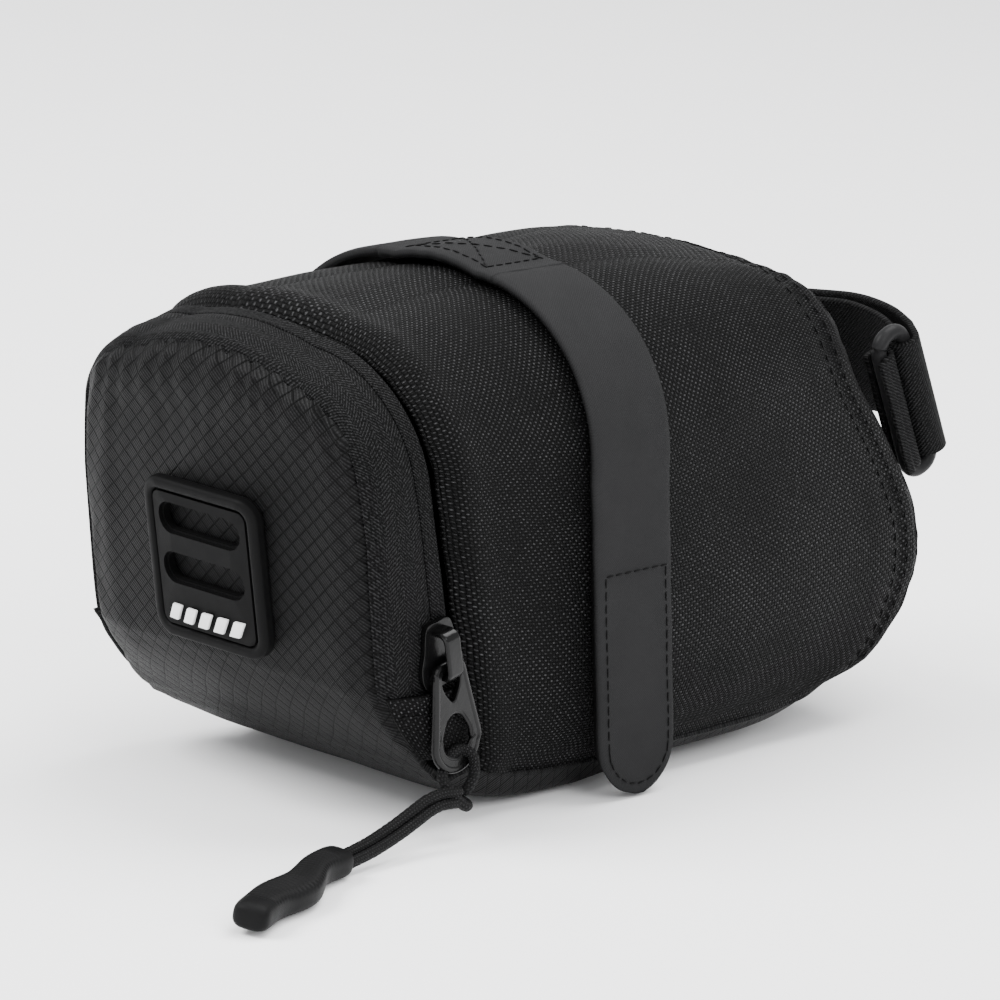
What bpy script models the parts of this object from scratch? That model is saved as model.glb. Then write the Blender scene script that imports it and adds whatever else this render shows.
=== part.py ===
"""Under-saddle bicycle bag with a zipped rear lid, rail straps and a seatpost loop.

Metres, +Z up. The bag stands on its bottom, -Y is the zipped rear lid and +Y the seatpost end.
"""
import math

import bmesh
import bpy
import numpy as np
from mathutils import Matrix, Vector

MM = 0.001

# Driving sizes, in millimetres
SIDE_HALF = 36.3          # half width of the flat zipped sides
BODY_BELLY = 2.6          # how far the sides swell between the seams
TOP_PUFF = 2.0            # rise of the top behind the rail strap
FRONT_HALF = 35.0
BODY_CREST = 91.5
ZIP_DIP = 2.8               # how much lower the crest is beside the zip
DIP_LENGTH = 0.36           # share of the body's length over which that is made up
FRONT_CREST = 88.0
LID_CREST = 84.3
BODY_RADIUS = 23.0
FRONT_RADIUS = 13.0
LID_RADIUS = 13.0
LID_BULGE = 3.6
LID_DRAW_IN = 0.15        # share of the width that the lid loses at its top
STRAIGHT_TOP = 54.0       # the zip runs straight up the side to this height
SEAM_LOW = 6.3            # height of the seam between side and bottom
FLAT_REAR = -33.0           # the bottom lies flat from here forwards, so that the bag stands with its lid open
SHELL = 1.2               # woven outer fabric with its backing
LINER = 2.0               # foam with lining cloth
LAYER_GAP = 0.35
SEAM_GAP = 0.5
HINGE_Y = -71.0
HINGE_Z = 13.5
ZIP_LOW = 25.8            # height where both zip ends stop
ZIP_SHARE = 0.69          # zip line, as a share of the way from lid seam to body seam
ZIP_SLOT = 0.032          # half the slot between the tapes, as a share of the gusset
TAPE = 0.8
COIL = 1.5
STRAP_WIDTH = 20.0
STRAP_THICK = 1.5
STRAP_Y = -26.5
STRAP_HALF = 40.2
STRAP_SEWN = 14.0         # half length of the stitched middle of the rail strap
STRAP_END_Z = 0.7
POST_WIDTH = 25.0
POST_THICK = 1.1
POST_TILT = math.radians(26)
SLIDER_Z = 33.6
CORD_DIAMETER = 2.0
BADGE_SIZE = (27.6, 30.0)
BADGE_THICK = 2.4
BADGE_Z = 44.5
CENTRING = 7.7            # the outlines are drawn about the saddle clamp; this centres the bag on its base


for old in list(bpy.data.objects):
    bpy.data.objects.remove(old)


def material(name, colour, roughness, metallic=0.0):
    made = bpy.data.materials.new(name)
    made.use_nodes = True
    shader = made.node_tree.nodes["Principled BSDF"]
    shader.inputs["Base Color"].default_value = (*colour, 1.0)
    shader.inputs["Roughness"].default_value = roughness
    shader.inputs["Metallic"].default_value = metallic
    return made


WOVEN = material("woven_polyester", (0.018, 0.018, 0.019), 0.85)
RIPSTOP = material("ripstop_cloth", (0.030, 0.030, 0.032), 0.70)
LINING = material("padded_lining", (0.06, 0.06, 0.065), 0.9)
TAPE_CLOTH = material("zip_tape_cloth", (0.014, 0.014, 0.015), 0.8)
COIL_NYLON = material("zip_coil_nylon", (0.012, 0.012, 0.013), 0.45)
BRUSHED_TAPE = material("brushed_strap_cloth", (0.05, 0.05, 0.052), 0.75)
HOOK_TAPE = material("hook_tape", (0.016, 0.016, 0.017), 0.8)
WEBBING = material("webbing", (0.02, 0.02, 0.021), 0.7)
BLACK_METAL = material("black_lacquered_metal", (0.02, 0.02, 0.021), 0.25, 0.6)
RING_PLASTIC = material("ring_plastic", (0.06, 0.06, 0.063), 0.35)
BADGE_RUBBER = material("badge_rubber", (0.03, 0.03, 0.031), 0.6)
MARK_RUBBER = material("mark_rubber", (0.75, 0.75, 0.75), 0.5)
CORD_BRAID = material("cord_braid", (0.012, 0.012, 0.013), 0.7)
GRIP_RUBBER = material("grip_rubber", (0.02, 0.02, 0.021), 0.55)


def add_object(name, bm, finish, outward=None):
    """Turns a bmesh in millimetres into a named object in metres, smooth where it is round."""
    bmesh.ops.translate(bm, vec=(0, CENTRING, 0), verts=bm.verts)
    bmesh.ops.scale(bm, vec=(MM, MM, MM), verts=bm.verts)
    mesh = bpy.data.meshes.new(name)
    bm.normal_update()
    if outward is not None:
        middle = sum((f.calc_center_median() for f in bm.faces), Vector()) / len(bm.faces)
        facing = sum(f.normal.dot(outward(f.calc_center_median(), middle)) for f in bm.faces)
        if facing < 0:
            bmesh.ops.reverse_faces(bm, faces=bm.faces)
    bm.to_mesh(mesh)
    bm.free()
    mesh.materials.append(finish)
    mesh.shade_smooth()
    mesh.set_sharp_from_angle(angle=math.radians(35))
    made = bpy.data.objects.new(name, mesh)
    bpy.context.scene.collection.objects.link(made)
    return made


def sheet(name, surface, across, along, thickness, finish, outward, inset=0.0):
    """A grid laid over surface(u, v), thickened inwards, with its outer face inset from the surface."""
    bm = bmesh.new()
    bmesh.ops.create_grid(bm, x_segments=across, y_segments=along, size=0.5)
    for vert in bm.verts:
        vert.co = Vector(surface(vert.co.x + 0.5, vert.co.y + 0.5))
    bm.normal_update()
    middle = sum((f.calc_center_median() for f in bm.faces), Vector()) / len(bm.faces)
    if sum(f.normal.dot(outward(f.calc_center_median(), middle)) for f in bm.faces) < 0:
        bmesh.ops.reverse_faces(bm, faces=bm.faces)
        bm.normal_update()
    if inset:
        moved = [(vert, vert.co - vert.normal * inset) for vert in bm.verts]
        for vert, place in moved:
            vert.co = place
    made = add_object(name, bm, finish)
    wall = made.modifiers.new("wall", "SOLIDIFY")
    wall.thickness = thickness * MM
    wall.offset = -1.0
    return made


def from_middle(point, middle):
    return point - middle


def facing(*direction):
    aim = Vector(direction).normalized()
    return lambda point, middle: aim


def spline_height(points):
    """Returns y as a smooth function of z along a profile given from top to bottom as (y, z) points."""
    ys, zs = [], []
    padded = [points[0], *points, points[-1]]
    for a, b, c, d in zip(padded, padded[1:], padded[2:], padded[3:]):
        for step in range(12):
            s = step / 12
            for out, k in ((ys, 0), (zs, 1)):
                out.append(0.5 * (2 * b[k] + (c[k] - a[k]) * s
                                  + (2 * a[k] - 5 * b[k] + 4 * c[k] - d[k]) * s * s
                                  + (3 * b[k] - a[k] - 3 * c[k] + d[k]) * s ** 3))
    ys.append(points[-1][0])
    zs.append(points[-1][1])
    order = np.argsort(zs)
    heights, places = np.array(zs)[order], np.array(ys)[order]
    return lambda z: float(np.interp(z, heights, places))


def mix(a, b, share):
    return a + (b - a) * share


# Outlines shared by the panels ------------------------------------------------------------------

front_edge = spline_height([(35, 88.5), (40.8, 72), (60, 47.3), (66, 33), (62.5, 21), (53, 12.5), (42, 9.5)])
front_middle = spline_height([(35.5, 88.5), (43.5, 74), (62.5, 49.5), (68.5, 36), (66, 24), (57, 12.5), (43.5, 4.5)])
lid_edge = spline_height([(-91.8, 84.7), (-87.4, 58.6), (-82.9, 31), (-80.6, 25), (-76.6, 19.4), (HINGE_Y, HINGE_Z)])


def body_seam(z):
    """Y of the seam between the zip gusset and the body."""
    return -58.8 - 0.255 * (z - 15)


def arch(t, half, crest, radius, crown, low):
    """Point (x, z) of an arch that runs up the right side, over the top and down the left side."""
    s = 2 * t if t <= 0.5 else 2 * (1 - t)
    side_top = crest - crown - radius
    if s < 0.42:
        x, z = half, mix(low, side_top, s / 0.42)
    elif s < 0.76:
        turn = (s - 0.42) / 0.34 * math.pi / 2
        x = half - radius + radius * math.cos(turn)
        z = side_top + radius * math.sin(turn)
    else:
        x = (half - radius) * (1 - (s - 0.76) / 0.24)
        z = crest - crown * (x / (half - radius)) ** 2
    return (x if t <= 0.5 else -x), z


def narrowed(x, z):
    """The lid and its gusset draw in towards the top, above the straight run of the zip."""
    return x * (1 - LID_DRAW_IN * max(0.0, (z - STRAIGHT_TOP) / (LID_CREST - STRAIGHT_TOP)) ** 1.5)


def arch_top(x, half, crest, radius, crown):
    """Height of the same arch above a given x."""
    x = min(abs(x), half)
    if x <= half - radius:
        return crest - crown * (x / (half - radius)) ** 2
    return crest - crown - radius + math.sqrt(max(0.0, radius ** 2 - (x - half + radius) ** 2))


def seam_low(v):
    return SEAM_LOW + 4.0 * abs(2 * v - 1) ** 4


def body_point(t, v):
    """Point of the body's outer surface: t runs round the arch, v from the zip to the seatpost end."""
    swell = math.sin(math.pi * v)
    half = mix(SIDE_HALF + 0.7, FRONT_HALF, v) + BODY_BELLY * swell
    radius = mix(BODY_RADIUS, FRONT_RADIUS, v) + 11 * swell
    puff = TOP_PUFF * math.sin(math.pi * max(0.0, (v - 0.45) / 0.55))
    dip = ZIP_DIP * max(0.0, 1 - v / DIP_LENGTH) ** 2
    crest = BODY_CREST - dip - (BODY_CREST - FRONT_CREST) * v ** 4 + puff
    low = seam_low(v)
    x, z = arch(t, half, crest, radius, 1.5, low)
    tuck_from = 35.0
    if z < tuck_from:
        inward = (half - 35.6) * ((tuck_from - z) / (tuck_from - low)) ** 1.6
        x -= math.copysign(inward, x)
    return x, mix(body_seam(z) + SEAM_GAP, front_edge(z), v), z


def gusset_point(t, f):
    """Point of the zip gusset: f runs from the lid seam at 0 to the body seam at 1."""
    lid_x, lid_z = arch(t, SIDE_HALF, LID_CREST, LID_RADIUS, 4.0, ZIP_LOW)
    body_x, body_z = arch(t, SIDE_HALF, BODY_CREST - ZIP_DIP, BODY_RADIUS, 1.5, ZIP_LOW)
    y = mix(lid_edge(lid_z), body_seam(body_z), f)
    return mix(narrowed(lid_x, lid_z), body_x, f), y, mix(lid_z, body_z, f)


def lid_point(u, v):
    """Point of the lid's outer face: u across, v from the hinge line to the top seam."""
    half = SIDE_HALF - TAPE - SEAM_GAP
    x = mix(half, -half, u)
    top = arch_top(x, half, LID_CREST - TAPE - SEAM_GAP, LID_RADIUS - TAPE, 4.0)
    z = mix(HINGE_Z + 0.2, top, v)
    across = 1 - (x / SIDE_HALF) ** 2
    bulge = LID_BULGE * across * math.sin(math.pi * (z - HINGE_Z) / (LID_CREST + 8 - HINGE_Z))
    return narrowed(x, z), lid_edge(z) - bulge, z


def bottom_height(x, y):
    """Height of the bottom's outer face: flat in the middle, rising to the seams and to the lid hinge."""
    rear = max(0.0, FLAT_REAR - y)
    front = max(0.0, y - 25.0)
    middle = (HINGE_Z - 0.5) * (rear / (FLAT_REAR - HINGE_Y)) ** 2.3 + 4.6 * (front / 18.0) ** 2.0
    v = (y - body_seam(12)) / (front_edge(10) - body_seam(12))
    edge = seam_low(min(max(v, 0.0), 1.0)) - 2.1
    edge = max(edge, middle)
    keel = min(max((y + 25.0) / 25.0, 0.0), 1.0)
    flat = mix(18.0, 8.0, keel)
    side = max(0.0, (abs(x) - flat) / (35.6 - flat))
    return mix(middle, edge, side ** mix(4.5, 1.6, keel))


def bottom_point(u, v):
    x = mix(35.6, -35.6, u)
    y = mix(HINGE_Y + 0.5, 42.5, v)
    return x, y, bottom_height(x, y)


def front_point(u, v, half=FRONT_HALF - SHELL - SEAM_GAP):
    """Point of the seatpost-end panel, set just inside the body shell's front edge."""
    x = mix(half, -half, u)
    top = arch_top(x, half, FRONT_CREST - SHELL - SEAM_GAP, FRONT_RADIUS - SHELL, 1.5)
    low = mix(5.2, 9.6, (abs(x) / half) ** 2.8)
    z = mix(low, top, v)
    return x, mix(front_edge(z), front_middle(z), 1 - (x / FRONT_HALF) ** 2), z


# Body panels --------------------------------------------------------------------------------------

def inner_of(surface, first_u, last_u, first_v, last_v):
    return lambda u, v: surface(mix(first_u, last_u, u), mix(first_v, last_v, v))


up_and_out = from_middle
sheet("body_shell", body_point, 28, 12, SHELL, WOVEN, up_and_out)
sheet("body_liner", inner_of(body_point, 0.045, 0.955, 0.03, 0.95), 26, 7, LINER, LINING, up_and_out,
      inset=SHELL + LAYER_GAP)
sheet("front_panel", front_point, 12, 12, SHELL, RIPSTOP, facing(0, 1, -0.2))
sheet("front_liner", inner_of(front_point, 0.09, 0.91, 0.1, 0.93), 8, 7, LINER, LINING, facing(0, 1, -0.2),
      inset=SHELL + LAYER_GAP)
sheet("bottom_panel", bottom_point, 14, 16, SHELL, RIPSTOP, facing(0, 0, -1))
sheet("bottom_liner", inner_of(bottom_point, 0.12, 0.88, 0.07, 0.94), 12, 14, LINER, LINING, facing(0, 0, -1),
      inset=SHELL + 2 * LAYER_GAP)

# Lid ------------------------------------------------------------------------------------------------

sheet("lid_panel", lid_point, 16, 14, SHELL, RIPSTOP, facing(0, -1, 0))
sheet("lid_liner", inner_of(lid_point, 0.09, 0.91, 0.1, 0.93), 8, 8, LINER, LINING, facing(0, -1, 0),
      inset=SHELL + LAYER_GAP)

# Zip ------------------------------------------------------------------------------------------------

ARCH_STEPS = 28


def gusset_band(first, last):
    return lambda u, v: gusset_point(u, mix(first, last, v))


sheet("zip_tape_lid", gusset_band(0.0, ZIP_SHARE - ZIP_SLOT), ARCH_STEPS, 2, TAPE, TAPE_CLOTH, up_and_out)
sheet("zip_tape_body", gusset_band(ZIP_SHARE + ZIP_SLOT, 0.98), ARCH_STEPS, 1, TAPE, TAPE_CLOTH, up_and_out)
sheet("zip_coil_lid", gusset_band(ZIP_SHARE - 0.13, ZIP_SHARE - ZIP_SLOT - 0.004), ARCH_STEPS, 1, COIL,
      COIL_NYLON, up_and_out, inset=TAPE + 0.3)
sheet("zip_coil_body", gusset_band(ZIP_SHARE + ZIP_SLOT + 0.004, ZIP_SHARE + 0.13), ARCH_STEPS, 1, COIL,
      COIL_NYLON, up_and_out, inset=TAPE + 0.3)


def end_tab_point(side):
    """Folded cloth tab over the lower zip end, just outside the tapes."""
    def point(u, v):
        z = mix(14.6, 27.0, v)
        y = mix(lid_edge(z) + 0.7, body_seam(z) - 0.4, u)
        return side * (SIDE_HALF + 0.3 + 0.9), y, z
    return point


for side, word in ((1, "right"), (-1, "left")):
    sheet("zip_end_tab_" + word, end_tab_point(side), 4, 3, 0.9, WOVEN, facing(side, 0, 0))

def round_rectangle(width, height, radius, steps=4, x=0.0, up=0.0):
    points = []
    for corner, (sx, sy) in enumerate(((1, 1), (-1, 1), (-1, -1), (1, -1))):
        for step in range(steps + 1):
            turn = (corner + step / steps) * math.pi / 2
            points.append((x + sx * (width / 2 - radius) + radius * math.cos(turn),
                           up + sy * (height / 2 - radius) + radius * math.sin(turn)))
    return points


# Zip slider, built in its own frame: s up the zip, e across it, n out of the bag ---------------------

zip_upper = Vector(gusset_point(0.14, ZIP_SHARE))
zip_lower = Vector(gusset_point(0.001, ZIP_SHARE))
ZIP_WAY = (zip_upper - zip_lower).normalized()
ZIP_ACROSS = Vector((0, ZIP_WAY.z, -ZIP_WAY.y))
slider_place = zip_lower + ZIP_WAY * ((SLIDER_Z - zip_lower.z) / ZIP_WAY.z)


def slider_to_bag(s, e, n):
    return slider_place + ZIP_WAY * s + ZIP_ACROSS * e + Vector((n, 0, 0))


def extruded_plate(outline, n_low, n_high):
    """A flat plate with the given (s, e) outline between two distances from the tape."""
    bm = bmesh.new()
    rim = [bm.verts.new(slider_to_bag(s, e, n_low)) for s, e in outline]
    base = bm.faces.new(rim)
    grown = bmesh.ops.extrude_face_region(bm, geom=[base])
    raised = [item for item in grown["geom"] if isinstance(item, bmesh.types.BMVert)]
    bmesh.ops.translate(bm, vec=(n_high - n_low, 0, 0), verts=raised)
    bmesh.ops.recalc_face_normals(bm, faces=bm.faces)
    return bm


def plate_outline(grow=0.0):
    """Slider plate: narrow at the closed end above, with two lobes at the wide end below."""
    right = [(6.2, 3.3), (3.0, 3.6), (0.5, 4.6), (-2.0, 5.0), (-4.4, 4.5), (-6.0, 2.9), (-6.2, 1.6)]
    middle = [(-5.4, 0.0)]
    left = [(s, -e) for s, e in reversed(right)]
    return [(s * (1 + grow), e * (1 + grow)) for s, e in right + middle + left]


def bridge_outline(n_low, n_high, wall, corner):
    """Side outline (s, n) of the bridge over the slider plate, or of the space under it."""
    upper, lower = 5.2 - wall, -4.2 + wall
    return [(upper, n_low), (upper, n_high - corner), (upper - corner, n_high), (lower + corner, n_high),
            (lower, n_high - corner), (lower, n_low)]


def bridge_solid():
    """The arched bridge that holds the pull tab."""
    bm = bmesh.new()
    half_width = 1.7
    outer = bridge_outline(1.0, 5.0, 0.0, 1.5)
    inner = bridge_outline(1.0, 3.9, 1.1, 0.7)
    ring = outer + list(reversed(inner))
    rim = [bm.verts.new(slider_to_bag(s, -half_width, n)) for s, n in ring]
    base = bm.faces.new(rim)
    grown = bmesh.ops.extrude_face_region(bm, geom=[base])
    raised = [item for item in grown["geom"] if isinstance(item, bmesh.types.BMVert)]
    bmesh.ops.translate(bm, vec=ZIP_ACROSS * (2 * half_width), verts=raised)
    bmesh.ops.recalc_face_normals(bm, faces=bm.faces)
    return bm


def box_between(s_low, s_high, e_half, n_low, n_high):
    outline = [(s_low, -e_half), (s_low, e_half), (s_high, e_half), (s_high, -e_half)]
    return extruded_plate(outline, n_low, n_high)


def cutter(name, bm):
    made = add_object(name, bm, BLACK_METAL)
    made.hide_render = True
    made.display_type = "WIRE"
    return made


def join_shapes(target, others, operation="UNION"):
    for other in others:
        joint = target.modifiers.new(other.name, "BOOLEAN")
        joint.operation = operation
        joint.object = other
    return target


COIL_BACK = -(TAPE + 0.3 + COIL)
slider_top = add_object("zip_slider", extruded_plate(plate_outline(), 0.3, 1.5), BLACK_METAL)
join_shapes(slider_top, [
    cutter("slider_bridge", bridge_solid()),
    cutter("slider_back", extruded_plate(plate_outline(-0.03), COIL_BACK - 1.4, COIL_BACK - 0.3)),
    cutter("slider_post", box_between(-4.6, -2.6, 0.3, COIL_BACK - 0.9, 0.9)),
])

# Pull tab ------------------------------------------------------------------------------------------------

TAB_PIVOT = (-1.7, 2.7)          # (s, n) of the swing axis inside the bridge
TAB_LENGTH = 20.2


def tab_half_width(down):
    """Half width of the pull tab at a distance below its axis."""
    if down > TAB_LENGTH - 5.9:
        drop = (down - (TAB_LENGTH - 5.9)) / 5.9
        return 5.9 * math.sqrt(max(0.0, 1 - drop ** 2)) if drop < 1 else 0.0
    return mix(3.7, 5.9, max(0.0, down / (TAB_LENGTH - 5.9)) ** 1.1)


def tab_outline():
    side = [(-0.8, 3.5)]
    side += [(down, tab_half_width(down)) for down in (1.5, 6.0, 10.0, TAB_LENGTH - 5.9)]
    for step in range(1, 6):
        turn = step / 6 * math.pi / 2
        side.append((TAB_LENGTH - 5.9 + 5.9 * math.sin(turn), 5.9 * math.cos(turn)))
    whole = side + [(TAB_LENGTH, 0.0)] + [(down, -e) for down, e in reversed(side)]
    return [(TAB_PIVOT[0] - down, e) for down, e in whole]


def rounded_slot(first_down, first_radius, last_down, last_radius, steps=6):
    """Outline of a hole with a round end of its own size at each end."""
    points = []
    for step in range(steps + 1):
        turn = math.pi * step / steps
        points.append((last_down + last_radius * math.sin(turn), last_radius * math.cos(turn)))
    for step in range(steps + 1):
        turn = math.pi * step / steps
        points.append((first_down - first_radius * math.sin(turn), -first_radius * math.cos(turn)))
    return [(TAB_PIVOT[0] - down, e) for down, e in points]


bridge_hole = [(TAB_PIVOT[0] - down, e) for e, down in round_rectangle(4.6, 6.0, 1.2, 4, 0.0, 3.8)]
tab = add_object("pull_tab", extruded_plate(tab_outline(), TAB_PIVOT[1] - 0.75, TAB_PIVOT[1] + 0.75), BLACK_METAL)
join_shapes(tab, [
    cutter("tab_bridge_hole", extruded_plate(bridge_hole, -4.0, 9.0)),
    cutter("tab_eye", extruded_plate(rounded_slot(11.4, 2.4, 13.6, 3.9), -4.0, 9.0)),
], "DIFFERENCE")

# Cord and grip ------------------------------------------------------------------------------------------

rim_low = slider_to_bag(TAB_PIVOT[0] - TAB_LENGTH, 0, TAB_PIVOT[1])
CORD_ROUTE = [(40.3, -73.6, 9.6), (40.4, -76.9, 7.9), (40.6, -81.9, 5.6), (41.4, -88.7, 3.7), (42.2, -95.5, 2.6)]
GRIP_ROUTE = [(42.1, -96.0, 2.8), (44.6, -105.0, 3.1), (49.8, -114.0, 3.0), (52.2, -123.5, 3.1), (57.0, -133.5, 3.3)]


def smooth_route(points, count):
    """Evenly numbered points on one smooth curve through a short list of route points."""
    padded = [points[0], *points, points[-1]]
    spans = len(points) - 1
    route = []
    for step in range(count + 1):
        place = step / count * spans
        k = min(int(place), spans - 1)
        s = place - k
        a, b, c, d = (Vector(p) for p in padded[k:k + 4])
        route.append(0.5 * (2 * b + (c - a) * s + (2 * a - 5 * b + 4 * c - d) * s * s
                            + (3 * b - a - 3 * c + d) * s ** 3))
    return route


def sideways(route, k):
    ahead = route[min(k + 1, len(route) - 1)] - route[max(k - 1, 0)]
    return Vector((-ahead.y, ahead.x, 0)).normalized()


def tube(name, route, diameter, finish):
    shape = bpy.data.curves.new(name, "CURVE")
    shape.dimensions = "3D"
    shape.bevel_depth = diameter / 2 * MM
    shape.bevel_resolution = 2
    shape.use_fill_caps = True
    shape.render_resolution_u = 0
    line = shape.splines.new("POLY")
    line.points.add(len(route) - 1)
    for place, target in zip(route, line.points):
        target.co = (*((place + Vector((0, CENTRING, 0))) * MM), 1.0)
    shape.materials.append(finish)
    made = bpy.data.objects.new(name, shape)
    bpy.context.scene.collection.objects.link(made)
    return made


middle_route = smooth_route(CORD_ROUTE, 10)
for offset, word in ((-1.15, "left"), (1.15, "right")):
    strand = [place + sideways(middle_route, k) * offset for k, place in enumerate(middle_route)]
    tube("pull_cord_" + word, strand, CORD_DIAMETER, CORD_BRAID)


def stretched_ball(name, finish, rings, segments, place):
    """A closed round solid: place(lengthwise 0 to 1, around) gives each vertex."""
    bm = bmesh.new()
    bmesh.ops.create_uvsphere(bm, u_segments=segments, v_segments=rings, radius=1.0)
    for vert in bm.verts:
        lengthwise = math.acos(max(-1.0, min(1.0, vert.co.z))) / math.pi
        vert.co = place(lengthwise, Vector((vert.co.x, vert.co.y)))
    bmesh.ops.recalc_face_normals(bm, faces=bm.faces)
    return add_object(name, bm, finish)


def hitch_place(lengthwise, around):
    """The cow hitch below the tab's rim, as one smooth lump."""
    top, low = rim_low.z - 0.4, 8.4
    shape = math.sin(math.pi * lengthwise) ** 0.6
    centre = Vector((40.3, mix(-66.0, -69.8, lengthwise), mix(top, low, lengthwise)))
    return centre + Vector((around.x * 2.2, around.y * 3.4, 0)) * (shape / max(around.length, 1e-6)
                                                                   if around.length > 1e-6 else 0)


stretched_ball("cord_hitch", CORD_BRAID, 6, 10, hitch_place)
grip_line = smooth_route(GRIP_ROUTE, 24)


def grip_place(lengthwise, around):
    """The moulded grip: a flattened bar with a narrow waist near its mouth and a round tip."""
    spot = lengthwise * 24
    k = min(int(spot), 23)
    centre = grip_line[k].lerp(grip_line[k + 1], spot - k)
    wide = mix(2.7, 3.6, min(1.0, lengthwise * 1.5)) + 0.35 * math.cos(lengthwise * 11)
    ends = min(1.0, (1 - abs(2 * lengthwise - 1) ** 14)) ** 0.5
    if around.length < 1e-6:
        return centre
    way = around.normalized()
    return centre + sideways(grip_line, k) * (way.x * wide * ends) + Vector((0, 0, way.y * 2.6 * ends))


stretched_ball("cord_grip", GRIP_RUBBER, 16, 12, grip_place)

# Badge on the lid ---------------------------------------------------------------------------------------

lid_low = Vector(lid_point(0.5, 0.25))
lid_high = Vector(lid_point(0.5, 0.65))
BADGE_UP = (lid_high - lid_low).normalized()
BADGE_OUT = Vector((0, -BADGE_UP.z, BADGE_UP.y))
badge_share = (BADGE_Z - HINGE_Z) / (LID_CREST - HINGE_Z)
badge_centre = Vector(lid_point(0.5, badge_share)) + BADGE_OUT * 0.45


def badge_to_bag(x, up, out):
    return badge_centre + Vector((x, 0, 0)) + BADGE_UP * up + BADGE_OUT * out


def badge_block(outline, low, high):
    bm = bmesh.new()
    rim = [bm.verts.new(badge_to_bag(x, up, low)) for x, up in outline]
    base = bm.faces.new(rim)
    grown = bmesh.ops.extrude_face_region(bm, geom=[base])
    raised = [item for item in grown["geom"] if isinstance(item, bmesh.types.BMVert)]
    bmesh.ops.translate(bm, vec=BADGE_OUT * (high - low), verts=raised)
    bmesh.ops.recalc_face_normals(bm, faces=bm.faces)
    return bm


BADGE_SLOTS = (8.0, -1.4)
plate = add_object("badge_plate", badge_block(round_rectangle(*BADGE_SIZE, 4.0), 0.0, BADGE_THICK), BADGE_RUBBER)
join_shapes(plate, [
    cutter("badge_slot_%d" % k, badge_block(round_rectangle(19.0, 5.1, 2.5, 4, 0.0, up), -2.0, 6.0))
    for k, up in enumerate(BADGE_SLOTS)
], "DIFFERENCE")
add_object("badge_mark", badge_block(round_rectangle(19.0, 2.9, 1.4, 3, 0.0, -9.8), BADGE_THICK + 0.3,
                                     BADGE_THICK + 0.9), MARK_RUBBER)

# Rail strap ---------------------------------------------------------------------------------------------

STRAP_RADIUS = 30.3
STRAP_CREST = 92.9


def strap_line(distance, lift=0.0):
    """Point (x, z) at a distance along the strap's inner face, from the middle of the top."""
    radius = STRAP_RADIUS + lift
    flat = STRAP_HALF - STRAP_RADIUS
    drop = 1.5
    centre_z = STRAP_CREST - drop - STRAP_RADIUS
    bend = STRAP_RADIUS * math.pi / 2
    if distance < flat:
        return distance, STRAP_CREST + lift - drop * (distance / flat) ** 2
    if distance < flat + bend:
        turn = (distance - flat) / STRAP_RADIUS
        return flat + radius * math.sin(turn), centre_z + radius * math.cos(turn)
    return STRAP_HALF + lift, centre_z - (distance - flat - bend)


STRAP_FLAT = STRAP_HALF - STRAP_RADIUS
STRAP_LENGTH = STRAP_FLAT + STRAP_RADIUS * math.pi / 2 + (STRAP_CREST - 1.5 - STRAP_RADIUS - STRAP_END_Z)


def strap_middle_y(z):
    return STRAP_Y + 0.125 * max(0.0, 60 - z)


def strap_end_half(to_end, half=STRAP_WIDTH / 2):
    """Half width near the rounded end."""
    if to_end >= half:
        return half
    return half * math.sqrt(max(0.02, 1 - ((half - to_end) / half) ** 2))


def strap_side(side, first, last, lift, half=STRAP_WIDTH / 2):
    def point(u, v):
        distance = mix(first, last, u ** 0.8 if last == STRAP_LENGTH else u)
        x, z = strap_line(distance, lift)
        wide = strap_end_half(last - distance, half)
        return side * x, strap_middle_y(z) + mix(-wide, wide, v), z
    return point


def strap_top(u, v):
    x, z = strap_line(abs(mix(-STRAP_SEWN, STRAP_SEWN, u)), STRAP_THICK)
    return math.copysign(x, u - 0.5), STRAP_Y + mix(-STRAP_WIDTH / 2, STRAP_WIDTH / 2, v), z


PATCH_FROM = STRAP_LENGTH - 44.0
sheet("rail_strap_top", strap_top, 8, 2, STRAP_THICK, BRUSHED_TAPE, facing(0, 0, 1))
for side, word in ((1, "right"), (-1, "left")):
    sheet("rail_strap_" + word, strap_side(side, STRAP_SEWN + 0.7, STRAP_LENGTH, STRAP_THICK), 26, 4, STRAP_THICK,
          BRUSHED_TAPE, facing(side, 0, 0.3))
    sheet("hook_patch_" + word, strap_side(side, PATCH_FROM, STRAP_LENGTH - 1.5, -0.3, 9.0), 8, 3, 0.8,
          HOOK_TAPE, facing(side, 0, 0.3))

# Seatpost loop ------------------------------------------------------------------------------------------

POST_UP = Vector((0, -math.sin(POST_TILT), math.cos(POST_TILT)))
POST_AHEAD = Vector((0, math.cos(POST_TILT), math.sin(POST_TILT)))
POST_LEVEL = 27.0                 # height of the loop's middle along POST_UP
TAB_BAR = Vector((30.6, 79.3))    # ring bars, as (x, ahead)
STRAP_BAR = Vector((31.0, 85.9))
BAR_RADIUS = 1.5
RING_HALF = 15.0                  # half height of the ring, between its end bars' middles


def post_to_bag(x, ahead, up):
    return Vector((x, 0, 0)) + POST_AHEAD * ahead + POST_UP * (POST_LEVEL + up)


def band(name, outline, finish, thickness=POST_THICK, height=POST_WIDTH):
    """A band that follows a flat (x, ahead) route, standing on edge along the seatpost."""
    steps = len(outline) - 1

    def point(u, v):
        x, ahead = outline[round(u * steps)]
        return post_to_bag(x, ahead, mix(-height / 2, height / 2, v))

    return sheet(name, point, steps, 1, thickness, finish, from_middle)


def arc_points(centre, radius, first, last, steps):
    turns = [math.radians(mix(first, last, step / steps)) for step in range(steps + 1)]
    return [(centre.x + radius * math.cos(turn), centre.y + radius * math.sin(turn)) for turn in turns]


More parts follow.
